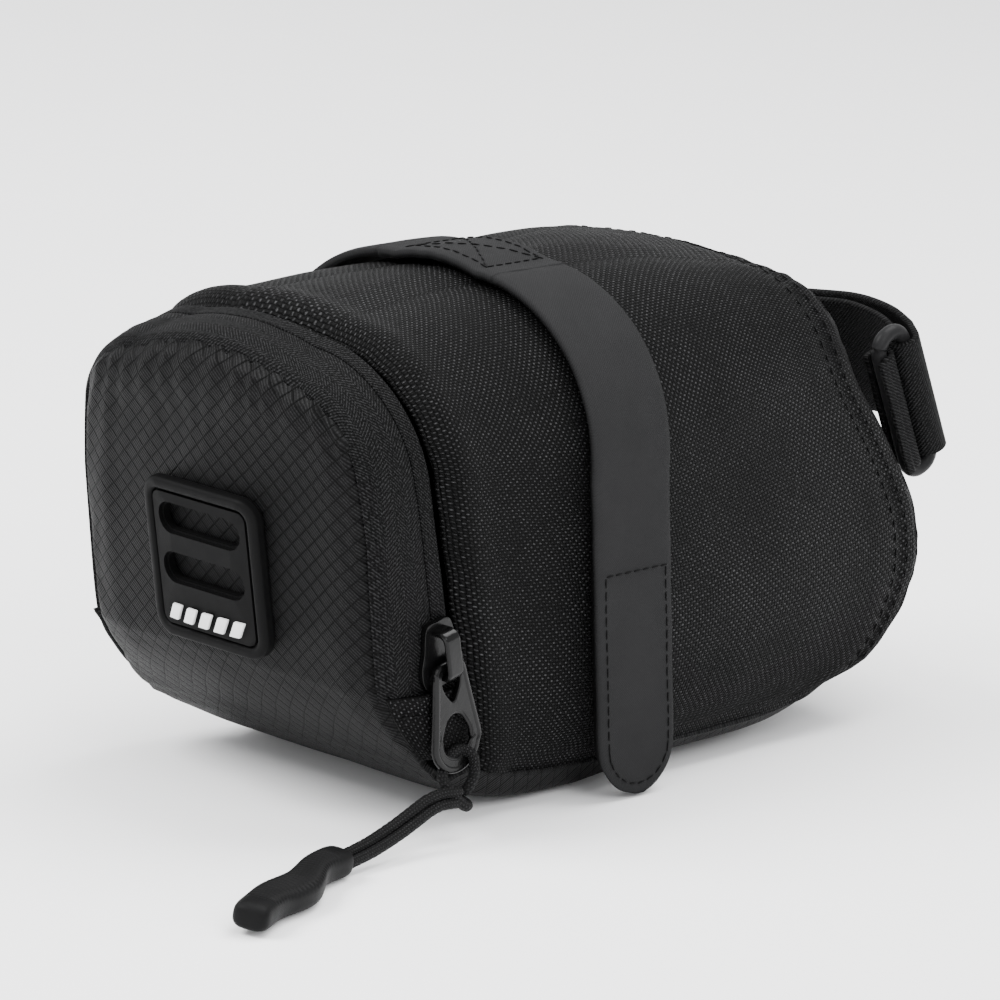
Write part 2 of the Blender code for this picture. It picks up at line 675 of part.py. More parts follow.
WRAP = BAR_RADIUS + 0.7 + POST_THICK
loop_route = [(p.x, p.y) for p in smooth_route(
    [(-33.8, 76.8, 0), (-33.6, 81.0, 0), (-23.0, 86.8, 0), (-8.0, 90.6, 0), (4.0, 93.6, 0), (13.5, 95.2, 0),
     (22.5, 94.0, 0), (29.6, 91.0, 0)], 24)]
loop_route += arc_points(STRAP_BAR, WRAP, 42, -180, 12)
band("post_strap", loop_route, WEBBING)

tail_start = Vector((STRAP_BAR.x - WRAP, STRAP_BAR.y + 0.7, 0))
tail_route = [(p.x, p.y) for p in smooth_route(
    [tail_start, (27.0, 88.6, 0), (21.5, 91.2, 0), (13.0, 92.6, 0), (4.6, 91.2, 0), (-6.0, 88.4, 0)], 12)]
band("post_strap_tail", tail_route, WEBBING, thickness=1.0)

eye_radius = BAR_RADIUS + 0.3 + 1.0
tab_route = [(33.6, 76.4), (33.8, 77.8)] + arc_points(TAB_BAR, eye_radius, -15, 180, 10) + [(27.8, 78.0)]
band("ring_tab", tab_route, WEBBING, thickness=1.0)


def ring_route():
    """The ring's centre line: a rectangle with round corners, tall enough for the webbing."""
    corner = 3.0
    across = (STRAP_BAR - TAB_BAR).normalized()
    width = (STRAP_BAR - TAB_BAR).length
    points = []
    for x, up in round_rectangle(width, 2 * RING_HALF, corner, 3):
        place = (TAB_BAR + STRAP_BAR) / 2 + across * x
        points.append(post_to_bag(place.x, place.y, up))
    return points


ring = tube("strap_ring", ring_route(), 2 * BAR_RADIUS, RING_PLASTIC)
ring.data.splines[0].use_cyclic_u = True

# Joint axes -----------------------------------------------------------------------------------------------


def hang_on(name, place, pieces):
    """Parents moving pieces to an empty on their joint's axis."""
    axis = bpy.data.objects.new(name, None)
    axis.location = (Vector(place) + Vector((0, CENTRING, 0))) * MM
    bpy.context.scene.collection.objects.link(axis)
    for piece in pieces:
        moving = bpy.data.objects[piece]
        moving.parent = axis
        moving.matrix_parent_inverse = Matrix.Translation(-axis.location)


hang_on("lid_axis", (0, HINGE_Y, HINGE_Z),
        ["lid_panel", "lid_liner", "zip_tape_lid", "zip_coil_lid", "badge_plate", "badge_mark"])
hang_on("slider_axis", slider_place, ["zip_slider"])
hang_on("pull_axis", slider_to_bag(TAB_PIVOT[0], 0, TAB_PIVOT[1]),
        ["pull_tab", "pull_cord_left", "pull_cord_right", "cord_hitch", "cord_grip"])
for side, word in ((1, "right"), (-1, "left")):
    x, z = strap_line(STRAP_SEWN + 0.35, STRAP_THICK)
    hang_on("strap_axis_" + word, (side * x, STRAP_Y, z), ["rail_strap_" + word, "hook_patch_" + word])
hang_on("ring_axis", post_to_bag(TAB_BAR.x, TAB_BAR.y, 0), ["strap_ring"])
hang_on("tail_axis", post_to_bag(tail_start.x, tail_start.y, 0), ["post_strap_tail"])
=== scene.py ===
import math

import bmesh
import bpy
import numpy as np
from mathutils import Matrix, Vector, noise


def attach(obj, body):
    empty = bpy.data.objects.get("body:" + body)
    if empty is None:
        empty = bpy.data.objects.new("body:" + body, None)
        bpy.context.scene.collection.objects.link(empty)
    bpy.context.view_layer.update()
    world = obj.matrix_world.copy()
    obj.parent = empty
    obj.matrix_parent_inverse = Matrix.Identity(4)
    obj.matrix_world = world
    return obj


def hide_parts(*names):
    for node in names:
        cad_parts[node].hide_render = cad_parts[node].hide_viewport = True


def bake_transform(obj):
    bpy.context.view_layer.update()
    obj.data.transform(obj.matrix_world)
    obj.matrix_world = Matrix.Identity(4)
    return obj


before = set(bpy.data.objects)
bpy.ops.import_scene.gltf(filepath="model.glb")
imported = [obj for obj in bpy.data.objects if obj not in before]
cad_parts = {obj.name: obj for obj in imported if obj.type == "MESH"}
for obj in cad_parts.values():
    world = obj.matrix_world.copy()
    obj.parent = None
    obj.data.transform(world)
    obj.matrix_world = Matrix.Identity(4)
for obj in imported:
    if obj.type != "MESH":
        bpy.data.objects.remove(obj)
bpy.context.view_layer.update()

mm = 0.001
centring = 7.7  # outlines are drawn about the saddle clamp, and the finished bag stands this far ahead
scene = bpy.context.scene


def toBag(point):
    return Vector((point[0], point[1] + centring, point[2])) * mm


def mix(a, b, share):
    return a + (b - a) * share


def ease(value):
    value = min(max(value, 0.0), 1.0)
    return value * value * (3 - 2 * value)


# camera and light

cameraSettings = {
    "turn": 43.0,  # degrees round the bag
    "height": 17.5,
    "tip": 5.0,  # the bag leans back on its bottom seam by this much
    "distance": 1090.9,
    "aim": (3.5, -18.92, 46.83),
    "lens": 216,
}


def makeCamera(settings):
    turn, height = math.radians(settings["turn"]), math.radians(settings["height"])
    lean = Matrix.Rotation(math.radians(settings["tip"]), 3, "X")
    back = Vector((math.sin(turn) * math.cos(height), -math.cos(turn) * math.cos(height), math.sin(height)))
    right = Vector((math.cos(turn), math.sin(turn), 0))
    up = back.cross(right)
    camera = bpy.data.objects.new("camera", bpy.data.cameras.new("camera"))
    turned = Matrix((lean @ right, lean @ up, lean @ back)).transposed().to_4x4()
    place = toBag(Vector(settings["aim"]) + lean @ back * settings["distance"])
    camera.matrix_world = Matrix.Translation(place) @ turned
    camera.data.lens = settings["lens"]
    camera.data.clip_start = 0.01
    scene.collection.objects.link(camera)
    scene.camera = camera


makeCamera(cameraSettings)

lights = {
    "key": {"place": (-0.45, -0.75, 0.95), "size": 0.6, "power": 24.0},
    "side": {"place": (0.95, -0.25, 0.75), "size": 0.6, "power": 8.0},
    "top": {"place": (0.1, 0.35, 1.1), "size": 0.8, "power": 20.0},
    "low": {"place": (0.5, -0.95, 0.12), "size": 0.5, "power": 3.0},
}
for name, light in lights.items():
    lamp = bpy.data.lights.new(name, "AREA")
    lamp.size = light["size"]
    lamp.energy = light["power"]
    lampObject = bpy.data.objects.new(name, lamp)
    lampObject.location = light["place"]
    aim = Vector((0, 0, 0.04)) - lampObject.location
    lampObject.rotation_euler = aim.to_track_quat("-Z", "Y").to_euler()
    scene.collection.objects.link(lampObject)

world = bpy.data.worlds.new("studio")
world.use_nodes = True
world.node_tree.nodes["Background"].inputs["Color"].default_value = (0.97, 0.975, 0.985, 1)
world.node_tree.nodes["Background"].inputs["Strength"].default_value = 1.35
scene.world = world


# materials


class Finish:
    # A material with short ways to add its nodes.

    def __init__(self, name, colour, roughness, **sockets):
        self.material = bpy.data.materials.new(name)
        self.material.use_nodes = True
        self.tree = self.material.node_tree
        self.shader = self.tree.nodes["Principled BSDF"]
        self.set("Base Color", (*colour, 1.0))
        self.set("Roughness", roughness)
        for socket, value in sockets.items():
            self.set(socket.replace("_", " "), value)

    def set(self, socket, value):
        self.shader.inputs[socket].default_value = value

    def add(self, kind, **values):
        node = self.tree.nodes.new(kind)
        for key, value in values.items():
            setattr(node, key, value)
        return node

    def plug(self, value, socket):
        if isinstance(value, bpy.types.NodeSocket):
            self.tree.links.new(value, socket)
        else:
            socket.default_value = value

    def maths(self, operation, a, b=0.0, c=None):
        node = self.add("ShaderNodeMath", operation=operation)
        self.plug(a, node.inputs[0])
        self.plug(b, node.inputs[1])
        if c is not None:
            self.plug(c, node.inputs[2])
        return node.outputs[0]

    def times(self, a, b):
        return self.maths("MULTIPLY", a, b)

    def plus(self, a, b):
        return self.maths("ADD", a, b)

    def ripple(self, value, period):
        # A sine wave along a length, from 0 to 1.
        return self.between(self.maths("SINE", self.times(value, 2 * math.pi / period)), -1.0, 1.0)

    def cloth(self):
        # The piece's own cloth map, in millimetres along and across.
        node = self.add("ShaderNodeUVMap", uv_map="cloth")
        split = self.add("ShaderNodeSeparateXYZ")
        self.tree.links.new(node.outputs[0], split.inputs[0])
        return node.outputs[0], split.outputs[0], split.outputs[1]

    def solid(self):
        # Object coordinates, in millimetres.
        node = self.add("ShaderNodeTexCoord")
        scale = self.add("ShaderNodeVectorMath", operation="SCALE")
        scale.inputs["Scale"].default_value = 1000.0
        self.tree.links.new(node.outputs["Object"], scale.inputs[0])
        return scale.outputs[0]

    def speckle(self, vector, scale, detail=2.0, roughness=0.5):
        node = self.add("ShaderNodeTexNoise")
        node.inputs["Scale"].default_value = scale
        node.inputs["Detail"].default_value = detail
        node.inputs["Roughness"].default_value = roughness
        self.tree.links.new(vector, node.inputs["Vector"])
        return node.outputs["Fac"]

    def between(self, value, low, high, toLow=0.0, toHigh=1.0):
        node = self.add("ShaderNodeMapRange")
        for socket, number in zip(node.inputs[1:5], (low, high, toLow, toHigh)):
            socket.default_value = number
        self.plug(value, node.inputs[0])
        return node.outputs[0]

    def colours(self, value, dark, light, middle=None):
        ramp = self.add("ShaderNodeValToRGB")
        ramp.color_ramp.elements[0].color = (*dark, 1)
        ramp.color_ramp.elements[1].color = (*light, 1)
        if middle:
            ramp.color_ramp.elements.new(middle[0]).color = (*middle[1], 1)
        self.plug(value, ramp.inputs[0])
        self.tree.links.new(ramp.outputs[0], self.shader.inputs["Base Color"])

    def roughen(self, value, low, high):
        self.tree.links.new(self.between(value, 0.0, 1.0, low, high), self.shader.inputs["Roughness"])

    def bump(self, height, distance, strength=1.0):
        # Raised detail, with its height in millimetres.
        node = self.add("ShaderNodeBump")
        node.inputs["Strength"].default_value = strength
        node.inputs["Distance"].default_value = distance * mm
        self.plug(height, node.inputs["Height"])
        self.tree.links.new(node.outputs[0], self.shader.inputs["Normal"])


def grey(value, blue=1.03):
    return (value, value, value * blue)


def plainWeave(finish, along, across, pitch):
    # Height of a plain weave, and which thread is on top at each crossing.
    first = finish.maths("SINE", finish.times(along, math.pi / pitch))
    second = finish.maths("SINE", finish.times(across, math.pi / pitch))
    crossing = finish.times(first, second)
    top = finish.between(crossing, -0.25, 0.25)
    warp = finish.maths("POWER", finish.maths("ABSOLUTE", first), 0.7)
    weft = finish.maths("POWER", finish.maths("ABSOLUTE", second), 0.7)
    bowWarp = finish.times(warp, finish.maths("MULTIPLY_ADD", weft, 0.45, 0.55))
    bowWeft = finish.times(weft, finish.maths("MULTIPLY_ADD", warp, 0.45, 0.55))
    over = finish.times(bowWarp, top)
    under = finish.times(bowWeft, finish.maths("SUBTRACT", 1.0, top))
    return finish.plus(over, under), top


def wovenCloth(name, base, pitch, relief, paintedGlint=2.6):
    # Coated plain-woven polyester: rounded threads and uneven yarn, with small painted glints on the thread
    # crowns.
    made = Finish(name, grey(base), 0.6, Specular_IOR_Level=0.05)
    cloth, along, across = made.cloth()
    wander = made.times(made.maths("SUBTRACT", made.speckle(cloth, 0.16), 0.5), 0.5)
    height, top = plainWeave(made, made.plus(along, wander), made.plus(across, wander), pitch)
    yarn = made.speckle(cloth, 1.1 / pitch, 3.0, 0.7)
    patch = made.speckle(cloth, 0.05, 3.0)
    # Painted light: the thread crowns are painted light as painted highlight, and the gaps and the under thread
    # at each crossing are painted dark as painted shade. Yarn and patch noise vary the tone at random.
    tone = made.maths("POWER", made.times(height, made.between(top, 0.0, 1.0, 0.45, 1.0)), 1.6)
    tone = made.times(tone, made.between(yarn, 0.3, 0.7, 0.25, 1.25))
    tone = made.times(tone, made.between(patch, 0.3, 0.7, 0.8, 1.15))
    made.colours(tone, grey(base * 0.12), grey(base * paintedGlint), (0.45, grey(base * 0.8)))
    made.roughen(yarn, 0.38, 0.8)
    made.bump(made.plus(height, made.times(yarn, 0.35)), relief)
    return made.material


def ripstopCloth(name, base, cell, relief):
    # Diagonal ripstop: raised double threads in a diamond grid over a fine ribbed ground.
    made = Finish(name, grey(base), 0.5, Specular_IOR_Level=0.05)
    cloth, along, across = made.cloth()
    wander = made.times(made.maths("SUBTRACT", made.speckle(cloth, 0.08), 0.5), 0.5)
    first = made.plus(made.plus(along, across), wander)
    second = made.plus(made.maths("SUBTRACT", along, across), wander)

    def ridge(value, period, power):
        wave = made.maths("ABSOLUTE", made.maths("SINE", made.times(value, math.pi / period)))
        return made.maths("POWER", made.maths("SUBTRACT", 1.0, wave), power)

    step = cell * math.sqrt(2)
    grid = made.maths("MAXIMUM", ridge(first, step, 5.5), ridge(second, step, 5.5))
    ribs, threads = made.ripple(second, step / 5), made.ripple(first, step / 4)
    yarn = made.speckle(cloth, 1.6, 3.0, 0.7)
    fine = made.times(ribs, made.between(threads, 0.0, 1.0, 0.7, 1.0))
    # Rib crests are painted lighter as painted highlight and rib troughs darker as painted shade. The grid
    # lines are darker, and yarn noise varies the tone at random.
    tone = made.times(made.maths("SUBTRACT", 1.0, grid), made.maths("MULTIPLY_ADD", fine, 0.75, 0.15))
    tone = made.times(tone, made.between(yarn, 0.3, 0.7, 0.6, 1.15))
    made.colours(tone, grey(base * 0.08), grey(base * 3.0), (0.45, grey(base * 0.8)))
    made.roughen(yarn, 0.34, 0.6)
    made.bump(made.plus(made.times(grid, -1.0), made.times(fine, 0.5)), relief)
    return made.material


def twillTape(name, base, rib, reach, relief, shine=0.04):
    # Woven tape: slanting ribs that turn back in bands, as a herringbone.
    made = Finish(name, grey(base), 0.55, Specular_IOR_Level=shine)
    cloth, along, across = made.cloth()
    ribs = made.ripple(made.plus(along, made.maths("PINGPONG", across, reach)), rib)
    threads = made.ripple(across, rib * 0.55)
    yarn = made.speckle(cloth, 2.2, 3.0, 0.7)
    height = made.plus(made.times(ribs, 0.7), made.times(threads, 0.3))
    # Rib crests are painted lighter as painted highlight and the grooves darker as painted shade. Yarn noise
    # varies the tone at random.
    tone = made.times(height, made.between(yarn, 0.38, 0.62, 0.05, 1.6))
    made.colours(tone, grey(base * 0.12), grey(base * 3.4), (0.5, grey(base * 0.9)))
    made.roughen(yarn, 0.45, 0.8)
    made.bump(height, relief)
    return made.material


def brushedTape(name, base):
    # Brushed loop tape: fine slanting ribs under a short fibre pile.
    made = Finish(name, grey(base), 0.8, Specular_IOR_Level=0.05)
    cloth, along, across = made.cloth()
    slant = made.plus(along, made.times(across, 0.8))
    ribs = made.ripple(slant, 0.5)
    pile = made.speckle(cloth, 3.4, 4.0, 0.8)
    patch = made.speckle(cloth, 0.12, 3.0, 0.6)
    # The ribs are painted lighter on their crests as painted highlight. The pile and the broad patches vary the
    # tone at random.
    tone = made.plus(made.times(ribs, 0.28), made.times(pile, 0.6))
    tone = made.plus(tone, made.times(made.maths("SUBTRACT", patch, 0.5), 0.35))
    made.colours(tone, grey(base * 0.6), grey(base * 1.45), (0.5, grey(base)))
    made.roughen(pile, 0.7, 0.95)
    made.bump(made.plus(made.times(ribs, 0.3), pile), 0.1)
    return made.material


def mouldedRubber(name, colour, rough=0.55, grain=6.0):
    # Moulded rubber with a fine matt grain and slightly polished raised places.
    made = Finish(name, colour, rough, Specular_IOR_Level=0.05)
    place = made.solid()
    fine = made.speckle(place, grain, 3.0, 0.6)
    broad = made.speckle(place, 0.35, 3.0, 0.6)
    made.colours(made.times(made.plus(fine, broad), 0.5),
                 tuple(c * 0.75 for c in colour), tuple(c * 1.3 for c in colour))
    made.roughen(broad, rough - 0.12, rough + 0.14)
    made.bump(fine, 0.03)
    return made.material


def lacqueredMetal(name, colour):
    # Black lacquer over cast zinc, with orange peel and rubbed places.
    made = Finish(name, colour, 0.2, Specular_IOR_Level=0.14, Coat_Weight=0.05, Coat_Roughness=0.1)
    place = made.solid()
    peel = made.speckle(place, 0.9, 2.0)
    wear = made.speckle(place, 2.6, 5.0, 0.75)
    made.colours(wear, tuple(c * 0.7 for c in colour), tuple(c * 3.0 for c in colour),
                 (0.62, colour))
    made.roughen(wear, 0.14, 0.34)
    made.bump(peel, 0.05)
    return made.material


def braidedCord(name, base):
    # Braided cover of the cord: two slanting sets of threads over and under each other.
    made = Finish(name, grey(base), 0.6, Specular_IOR_Level=0.08)
    cloth, along, across = made.cloth()
    rising, falling = made.plus(along, across), made.maths("SUBTRACT", along, across)
    height, top = plainWeave(made, rising, falling, 0.62)
    yarn = made.speckle(cloth, 3.0, 3.0, 0.7)
    # Painted light: the strand crowns are painted light as painted highlight, and the gaps and the under strand
    # at each crossing are painted dark as painted shade. Yarn noise varies the tone at random.
    tone = made.times(made.times(height, made.between(top, 0.0, 1.0, 0.5, 1.0)),
                      made.between(yarn, 0.3, 0.7, 0.5, 1.3))
    made.colours(tone, grey(base * 0.1), grey(base * 4.0), (0.5, grey(base)))
    made.bump(height, 0.16)
    return made.material


def hookTape(name, base):
    # Stiff hooks standing on a plain ground.
    made = Finish(name, grey(base), 0.7, Specular_IOR_Level=0.08)
    cloth, along, across = made.cloth()
    height = plainWeave(made, along, across, 0.9)[0]
    fuzz = made.speckle(cloth, 3.0, 3.0, 0.7)
    # The ground's thread crowns are painted lighter as painted highlight and its gaps darker as painted shade.
    # The fuzz noise varies the tone at random.
    made.colours(made.times(height, fuzz), grey(base * 0.3), grey(base * 3.0))
    made.bump(made.maths("POWER", height, 3.0), 0.5)
    return made.material


wovenBlack = wovenCloth("wovenBlack", 0.0058, 0.66, 0.26, 7.5)
ripstopGrey = ripstopCloth("ripstopGrey", 0.0058, 2.5, 0.12)
liningCloth = wovenCloth("liningCloth", 0.03, 0.35, 0.06, 1.8)
tapeCloth = twillTape("tapeCloth", 0.0058, 0.72, 2.6, 0.16)
webbingCloth = twillTape("webbingCloth", 0.0055, 0.8, 60.0, 0.16)
strapCloth = brushedTape("strapCloth", 0.0155)
hookCloth = hookTape("hookCloth", 0.005)
coilNylon = mouldedRubber("coilNylon", grey(0.005), 0.4, 3.0)
metalBlack = lacqueredMetal("metalBlack", grey(0.0025))
ringFinish = mouldedRubber("ringFinish", grey(0.012), 0.34, 2.0)
badgeRubber = mouldedRubber("badgeRubber", grey(0.0028), 0.55)
markRubber = mouldedRubber("markRubber", grey(0.66, 1.0), 0.5)
gripRubber = mouldedRubber("gripRubber", grey(0.0048), 0.5)
threadBlack = mouldedRubber("threadBlack", grey(0.0025), 0.5, 4.0)
cordBraid = braidedCord("cordBraid", 0.0052)
print("materials made")


# tools for cloth panels and tubes


def finishPiece(name, bm, material, sharp=35, wall=None, flat=False):
    # Puts a bmesh drawn in bag millimetres into the scene, in metres.
    for vert in bm.verts:
        vert.co = toBag(vert.co)
    mesh = bpy.data.meshes.new(name)
    bm.to_mesh(mesh)
    bm.free()
    mesh.materials.append(material)
    mesh.shade_smooth()
    mesh.set_sharp_from_angle(angle=math.radians(sharp))
    piece = bpy.data.objects.new(name, mesh)
    scene.collection.objects.link(piece)
    if wall:
        thick = piece.modifiers.new("wall", "SOLIDIFY")
        thick.thickness = wall * mm
        thick.offset = -1.0
    if flat:
        piece.modifiers.new("flatFaces", "WEIGHTED_NORMAL").keep_sharp = True
    return piece


def keep(piece, body, slot, *nodes):
    # Rides a finished piece on its body and hides the solids that it stands for. Its finish slot is not used.
    if body:
        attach(piece, body)
    if nodes:
        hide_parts(*nodes)
    return piece


def panelNormal(panel, u, v):
    step = 0.005
    surface = panel["surface"]
    across = Vector(surface(min(u + step, 1), v)) - Vector(surface(max(u - step, 0), v))
    along = Vector(surface(u, min(v + step, 1))) - Vector(surface(u, max(v - step, 0)))
    normal = across.cross(along).normalized()
    outward = panel["outward"](Vector(surface(u, v)))
    return normal if normal.dot(outward) > 0 else -normal


def panelPoint(panel, u, v, lift=0.0):
    # Point of a panel with its padding and gathers, lifted off it by some millimetres.
    relief = panel["relief"](u, v) if "relief" in panel else 0.0
    return Vector(panel["surface"](u, v)) + panelNormal(panel, u, v) * (relief + lift)


def runningLengths(points):
    return np.concatenate([[0.0], np.cumsum([(b - a).length for a, b in zip(points, points[1:])])])


def measure(panel, fixed, alongU):
    # Running length, in millimetres, of one line of a panel, as a lookup from its share.
    steps = 60
    points = [Vector(panel["surface"](*((k / steps, fixed) if alongU else (fixed, k / steps))))
              for k in range(steps + 1)]
    lengths = runningLengths(points)
    return lambda share: float(np.interp(share, np.linspace(0, 1, steps + 1), lengths))


def layCloth(bm, layOut):
    # Cloth map of a flat unit grid, before it is bent to its shape.
    cloth = bm.loops.layers.uv.new("cloth")
    for face in bm.faces:
        for loop in face.loops:
            loop[cloth].uv = layOut(loop.vert.co.x + 0.5, loop.vert.co.y + 0.5)


def makePanel(name, panel, material, lift=0.0):
    # One cloth panel: a fine grid laid on its surface, with a cloth map in millimetres and a wall.
    bm = bmesh.new()
    bmesh.ops.create_grid(bm, x_segments=panel["across"], y_segments=panel["along"], size=0.5)
    runU = measure(panel, panel.get("rowAt", 0.5), True)
    runV = measure(panel, panel.get("columnAt", 0.3), False)
    layCloth(bm, panel.get("layOut", lambda u, v: (runU(u), runV(v))))
    for vert in bm.verts:
        vert.co = panelPoint(panel, vert.co.x + 0.5, vert.co.y + 0.5, lift)
    bm.normal_update()
    bm.faces.ensure_lookup_table()
    face = bm.faces[len(bm.faces) // 2]
    if face.normal.dot(panel["outward"](face.calc_center_median())) < 0:
        bmesh.ops.reverse_faces(bm, faces=bm.faces)
    return finishPiece(name, bm, material, 50, panel["wall"])


def curveAt(a, b, c, d, s):
    # Point between b and c on the smooth curve through four points.
    return 0.5 * (2 * b + (c - a) * s + (2 * a - 5 * b + 4 * c - d) * s * s
                  + (3 * b - a - 3 * c + d) * s ** 3)


def smoothRoute(points, count):
    # Evenly numbered points on one smooth curve through a short list of route points.
    padded = [points[0], *points, points[-1]]
    spans = len(points) - 1
    route = []
    for step in range(count + 1):
        place = step / count * spans
        k = min(int(place), spans - 1)
        s = place - k
        route.append(curveAt(*(Vector(p) for p in padded[k:k + 4]), s))
    return route


def routeFrame(route, k, closed=False):
    # Direction along a route and two directions across it.
    count = len(route)
    if closed:
        ahead = route[(k + 1) % count] - route[(k - 1) % count]
    else:
        ahead = route[min(k + 1, count - 1)] - route[max(k - 1, 0)]
    ahead = ahead.normalized()
    side = ahead.cross(Vector((0.1, 0.05, 1))).normalized()
    return ahead, side, side.cross(ahead)


def makeTube(name, route, radius, material, around=12, closed=False, shape=None, rounded=True):
    # A tube along a route, from a grid rolled up and sewn. shape(turn, length, share) scales its radius.
    bm = bmesh.new()
    rows = len(route) if closed else len(route) - 1
    bmesh.ops.create_grid(bm, x_segments=around, y_segments=rows, size=0.5)
    cloth = bm.loops.layers.uv.new("cloth")
    lengths = np.append(runningLengths(route), 0.0)
    for face in bm.faces:
        for loop in face.loops:
            row = round((loop.vert.co.y + 0.5) * rows)
            loop[cloth].uv = (float(lengths[row]), (loop.vert.co.x + 0.5) * 2 * math.pi * radius)
    for vert in bm.verts:
        share = vert.co.x + 0.5
        row = round((vert.co.y + 0.5) * rows)
        turn = share * 2 * math.pi
        k = row % len(route)
        ahead, side, up = routeFrame(route, k, closed)
        wide, high = radius, radius
        if shape:
            wide, high = shape(turn, float(lengths[row]), row / rows)
        if rounded and not closed:
            run = min(float(lengths[row]), float(lengths[len(route) - 1] - lengths[row]))
            cap = math.sqrt(max(0.0, 1 - max(0.0, 1 - run / radius) ** 2))
            wide, high = wide * cap, high * cap
        vert.co = route[k] + side * (math.cos(turn) * wide) + up * (math.sin(turn) * high)
    bmesh.ops.remove_doubles(bm, verts=bm.verts, dist=0.004)
    bmesh.ops.recalc_face_normals(bm, faces=bm.faces)
    return finishPiece(name, bm, material, 80)


def addStitch(bm, place, ahead, up, length, radius):
    # One stitch: a small rounded length of thread lying on the cloth.
    side = ahead.cross(up).normalized()
    up = side.cross(ahead)
    turned = Matrix((ahead * (length / 2), side * radius, up * radius * 0.75)).transposed().to_4x4()
    bmesh.ops.create_uvsphere(bm, u_segments=6, v_segments=4, radius=1.0,
                              matrix=Matrix.Translation(place) @ turned)


def stitchRow(bm, points, normals, length=2.1, gap=0.75, radius=0.26):
    # Stitches at an even pace along a row of points.
    pace = length + gap
    run, due = 0.0, pace / 2
    for k in range(len(points) - 1):
        part = (points[k + 1] - points[k]).length
        while due <= run + part:
            share = (due - run) / part
            place = points[k].lerp(points[k + 1], share)
            addStitch(bm, place, (points[k + 1] - points[k]).normalized(), normals[k], length, radius)
            due += pace
        run += part


def panelRow(panel, marks, lift=0.1):
    # Points and normals of a row on a panel, through (u, v) marks.
    points = [panelPoint(panel, u, v, lift) for u, v in marks]
    return points, [panelNormal(panel, u, v) for u, v in marks]


def stitchPiece(name, rows, body, slot, **sizes):
    bm = bmesh.new()
    for points, normals in rows:
        stitchRow(bm, points, normals, **sizes)
    return keep(finishPiece(name, bm, threadBlack, 180), body, slot)


def straightMarks(a, b, count=60):
    return [(mix(a[0], b[0], k / count), mix(a[1], b[1], k / count)) for k in range(count + 1)]


# the bag's outline

bag = {
    "sideHalf": 36.3, "belly": 2.6, "topPuff": 2.0, "frontHalf": 35.0,
    "bodyCrest": 91.5, "frontCrest": 88.0, "lidCrest": 84.3,
    "bodyRadius": 23.0, "frontRadius": 13.0, "lidRadius": 13.0,
    "lidBulge": 3.6, "lidDrawIn": 0.15, "zipDip": 2.8, "dipLength": 0.36, "straightTop": 54.0,
    "seamLow": 6.3, "shell": 1.2, "liner": 2.0, "layerGap": 0.35, "seamGap": 0.5,
    "hingeY": -71.0, "hingeZ": 13.5, "zipLow": 25.8, "zipShare": 0.69,
    "tape": 0.8, "coil": 1.5, "tucked": 0.45, "sewnSlot": 0.011, "flatRear": -33.0,
}


def outline(points):
    # Y as a smooth function of z along a profile of (y, z) points from top to bottom.
    route = smoothRoute([(y, z, 0) for y, z in points], 12 * (len(points) - 1))
    ys, zs = np.array([p.x for p in route]), np.array([p.y for p in route])
    order = np.argsort(zs)
    return lambda z: float(np.interp(z, zs[order], ys[order]))


frontEdge = outline([(35, 88.5), (40.8, 72), (60, 47.3), (66, 33), (62.5, 21), (53, 12.5), (42, 9.5)])
frontMiddle = outline([(35.5, 88.5), (43.5, 74), (62.5, 49.5), (68.5, 36), (66, 24), (57, 12.5), (43.5, 4.5)])
lidEdge = outline([(-91.8, 84.7), (-87.4, 58.6), (-82.9, 31), (-80.6, 25), (-76.6, 19.4),
                   (bag["hingeY"], bag["hingeZ"])])


def bodySeam(z):
    return -58.8 - 0.255 * (z - 15)


def arch(t, half, crest, radius, crown, low):
    # Point (x, z) of an arch up the right side, over the top and down the left side.
    s = 2 * t if t <= 0.5 else 2 * (1 - t)
    sideTop = crest - crown - radius
    if s < 0.42:
        x, z = half, mix(low, sideTop, s / 0.42)
    elif s < 0.76:
        turn = (s - 0.42) / 0.34 * math.pi / 2
        x, z = half - radius + radius * math.cos(turn), sideTop + radius * math.sin(turn)
    else:
        x = (half - radius) * (1 - (s - 0.76) / 0.24)
        z = crest - crown * (x / (half - radius)) ** 2
    return (x if t <= 0.5 else -x), z


def archTop(x, half, crest, radius, crown):
    x = min(abs(x), half)
    if x <= half - radius:
        return crest - crown * (x / (half - radius)) ** 2
    return crest - crown - radius + math.sqrt(max(0.0, radius ** 2 - (x - half + radius) ** 2))


def narrowed(x, z):
    share = max(0.0, (z - bag["straightTop"]) / (bag["lidCrest"] - bag["straightTop"]))
    return x * (1 - bag["lidDrawIn"] * share ** 1.5)


def bodySurface(t, v):
    swell = math.sin(math.pi * v)
    half = mix(bag["sideHalf"] + 0.7, bag["frontHalf"], v) + bag["belly"] * swell
    radius = mix(bag["bodyRadius"], bag["frontRadius"], v) + 11 * swell
    puff = bag["topPuff"] * math.sin(math.pi * max(0.0, (v - 0.45) / 0.55))
    dip = bag["zipDip"] * max(0.0, 1 - v / bag["dipLength"]) ** 2
    crest = bag["bodyCrest"] - dip - (bag["bodyCrest"] - bag["frontCrest"]) * v ** 4 + puff
    low = bag["seamLow"] + 4.0 * abs(2 * v - 1) ** 4
    x, z = arch(t, half, crest, radius, 1.5, low)
    if z < 35.0:
        x -= math.copysign((half - 35.6) * ((35.0 - z) / (35.0 - low)) ** 1.6, x)
    return x, mix(bodySeam(z) + bag["seamGap"], frontEdge(z), v), z


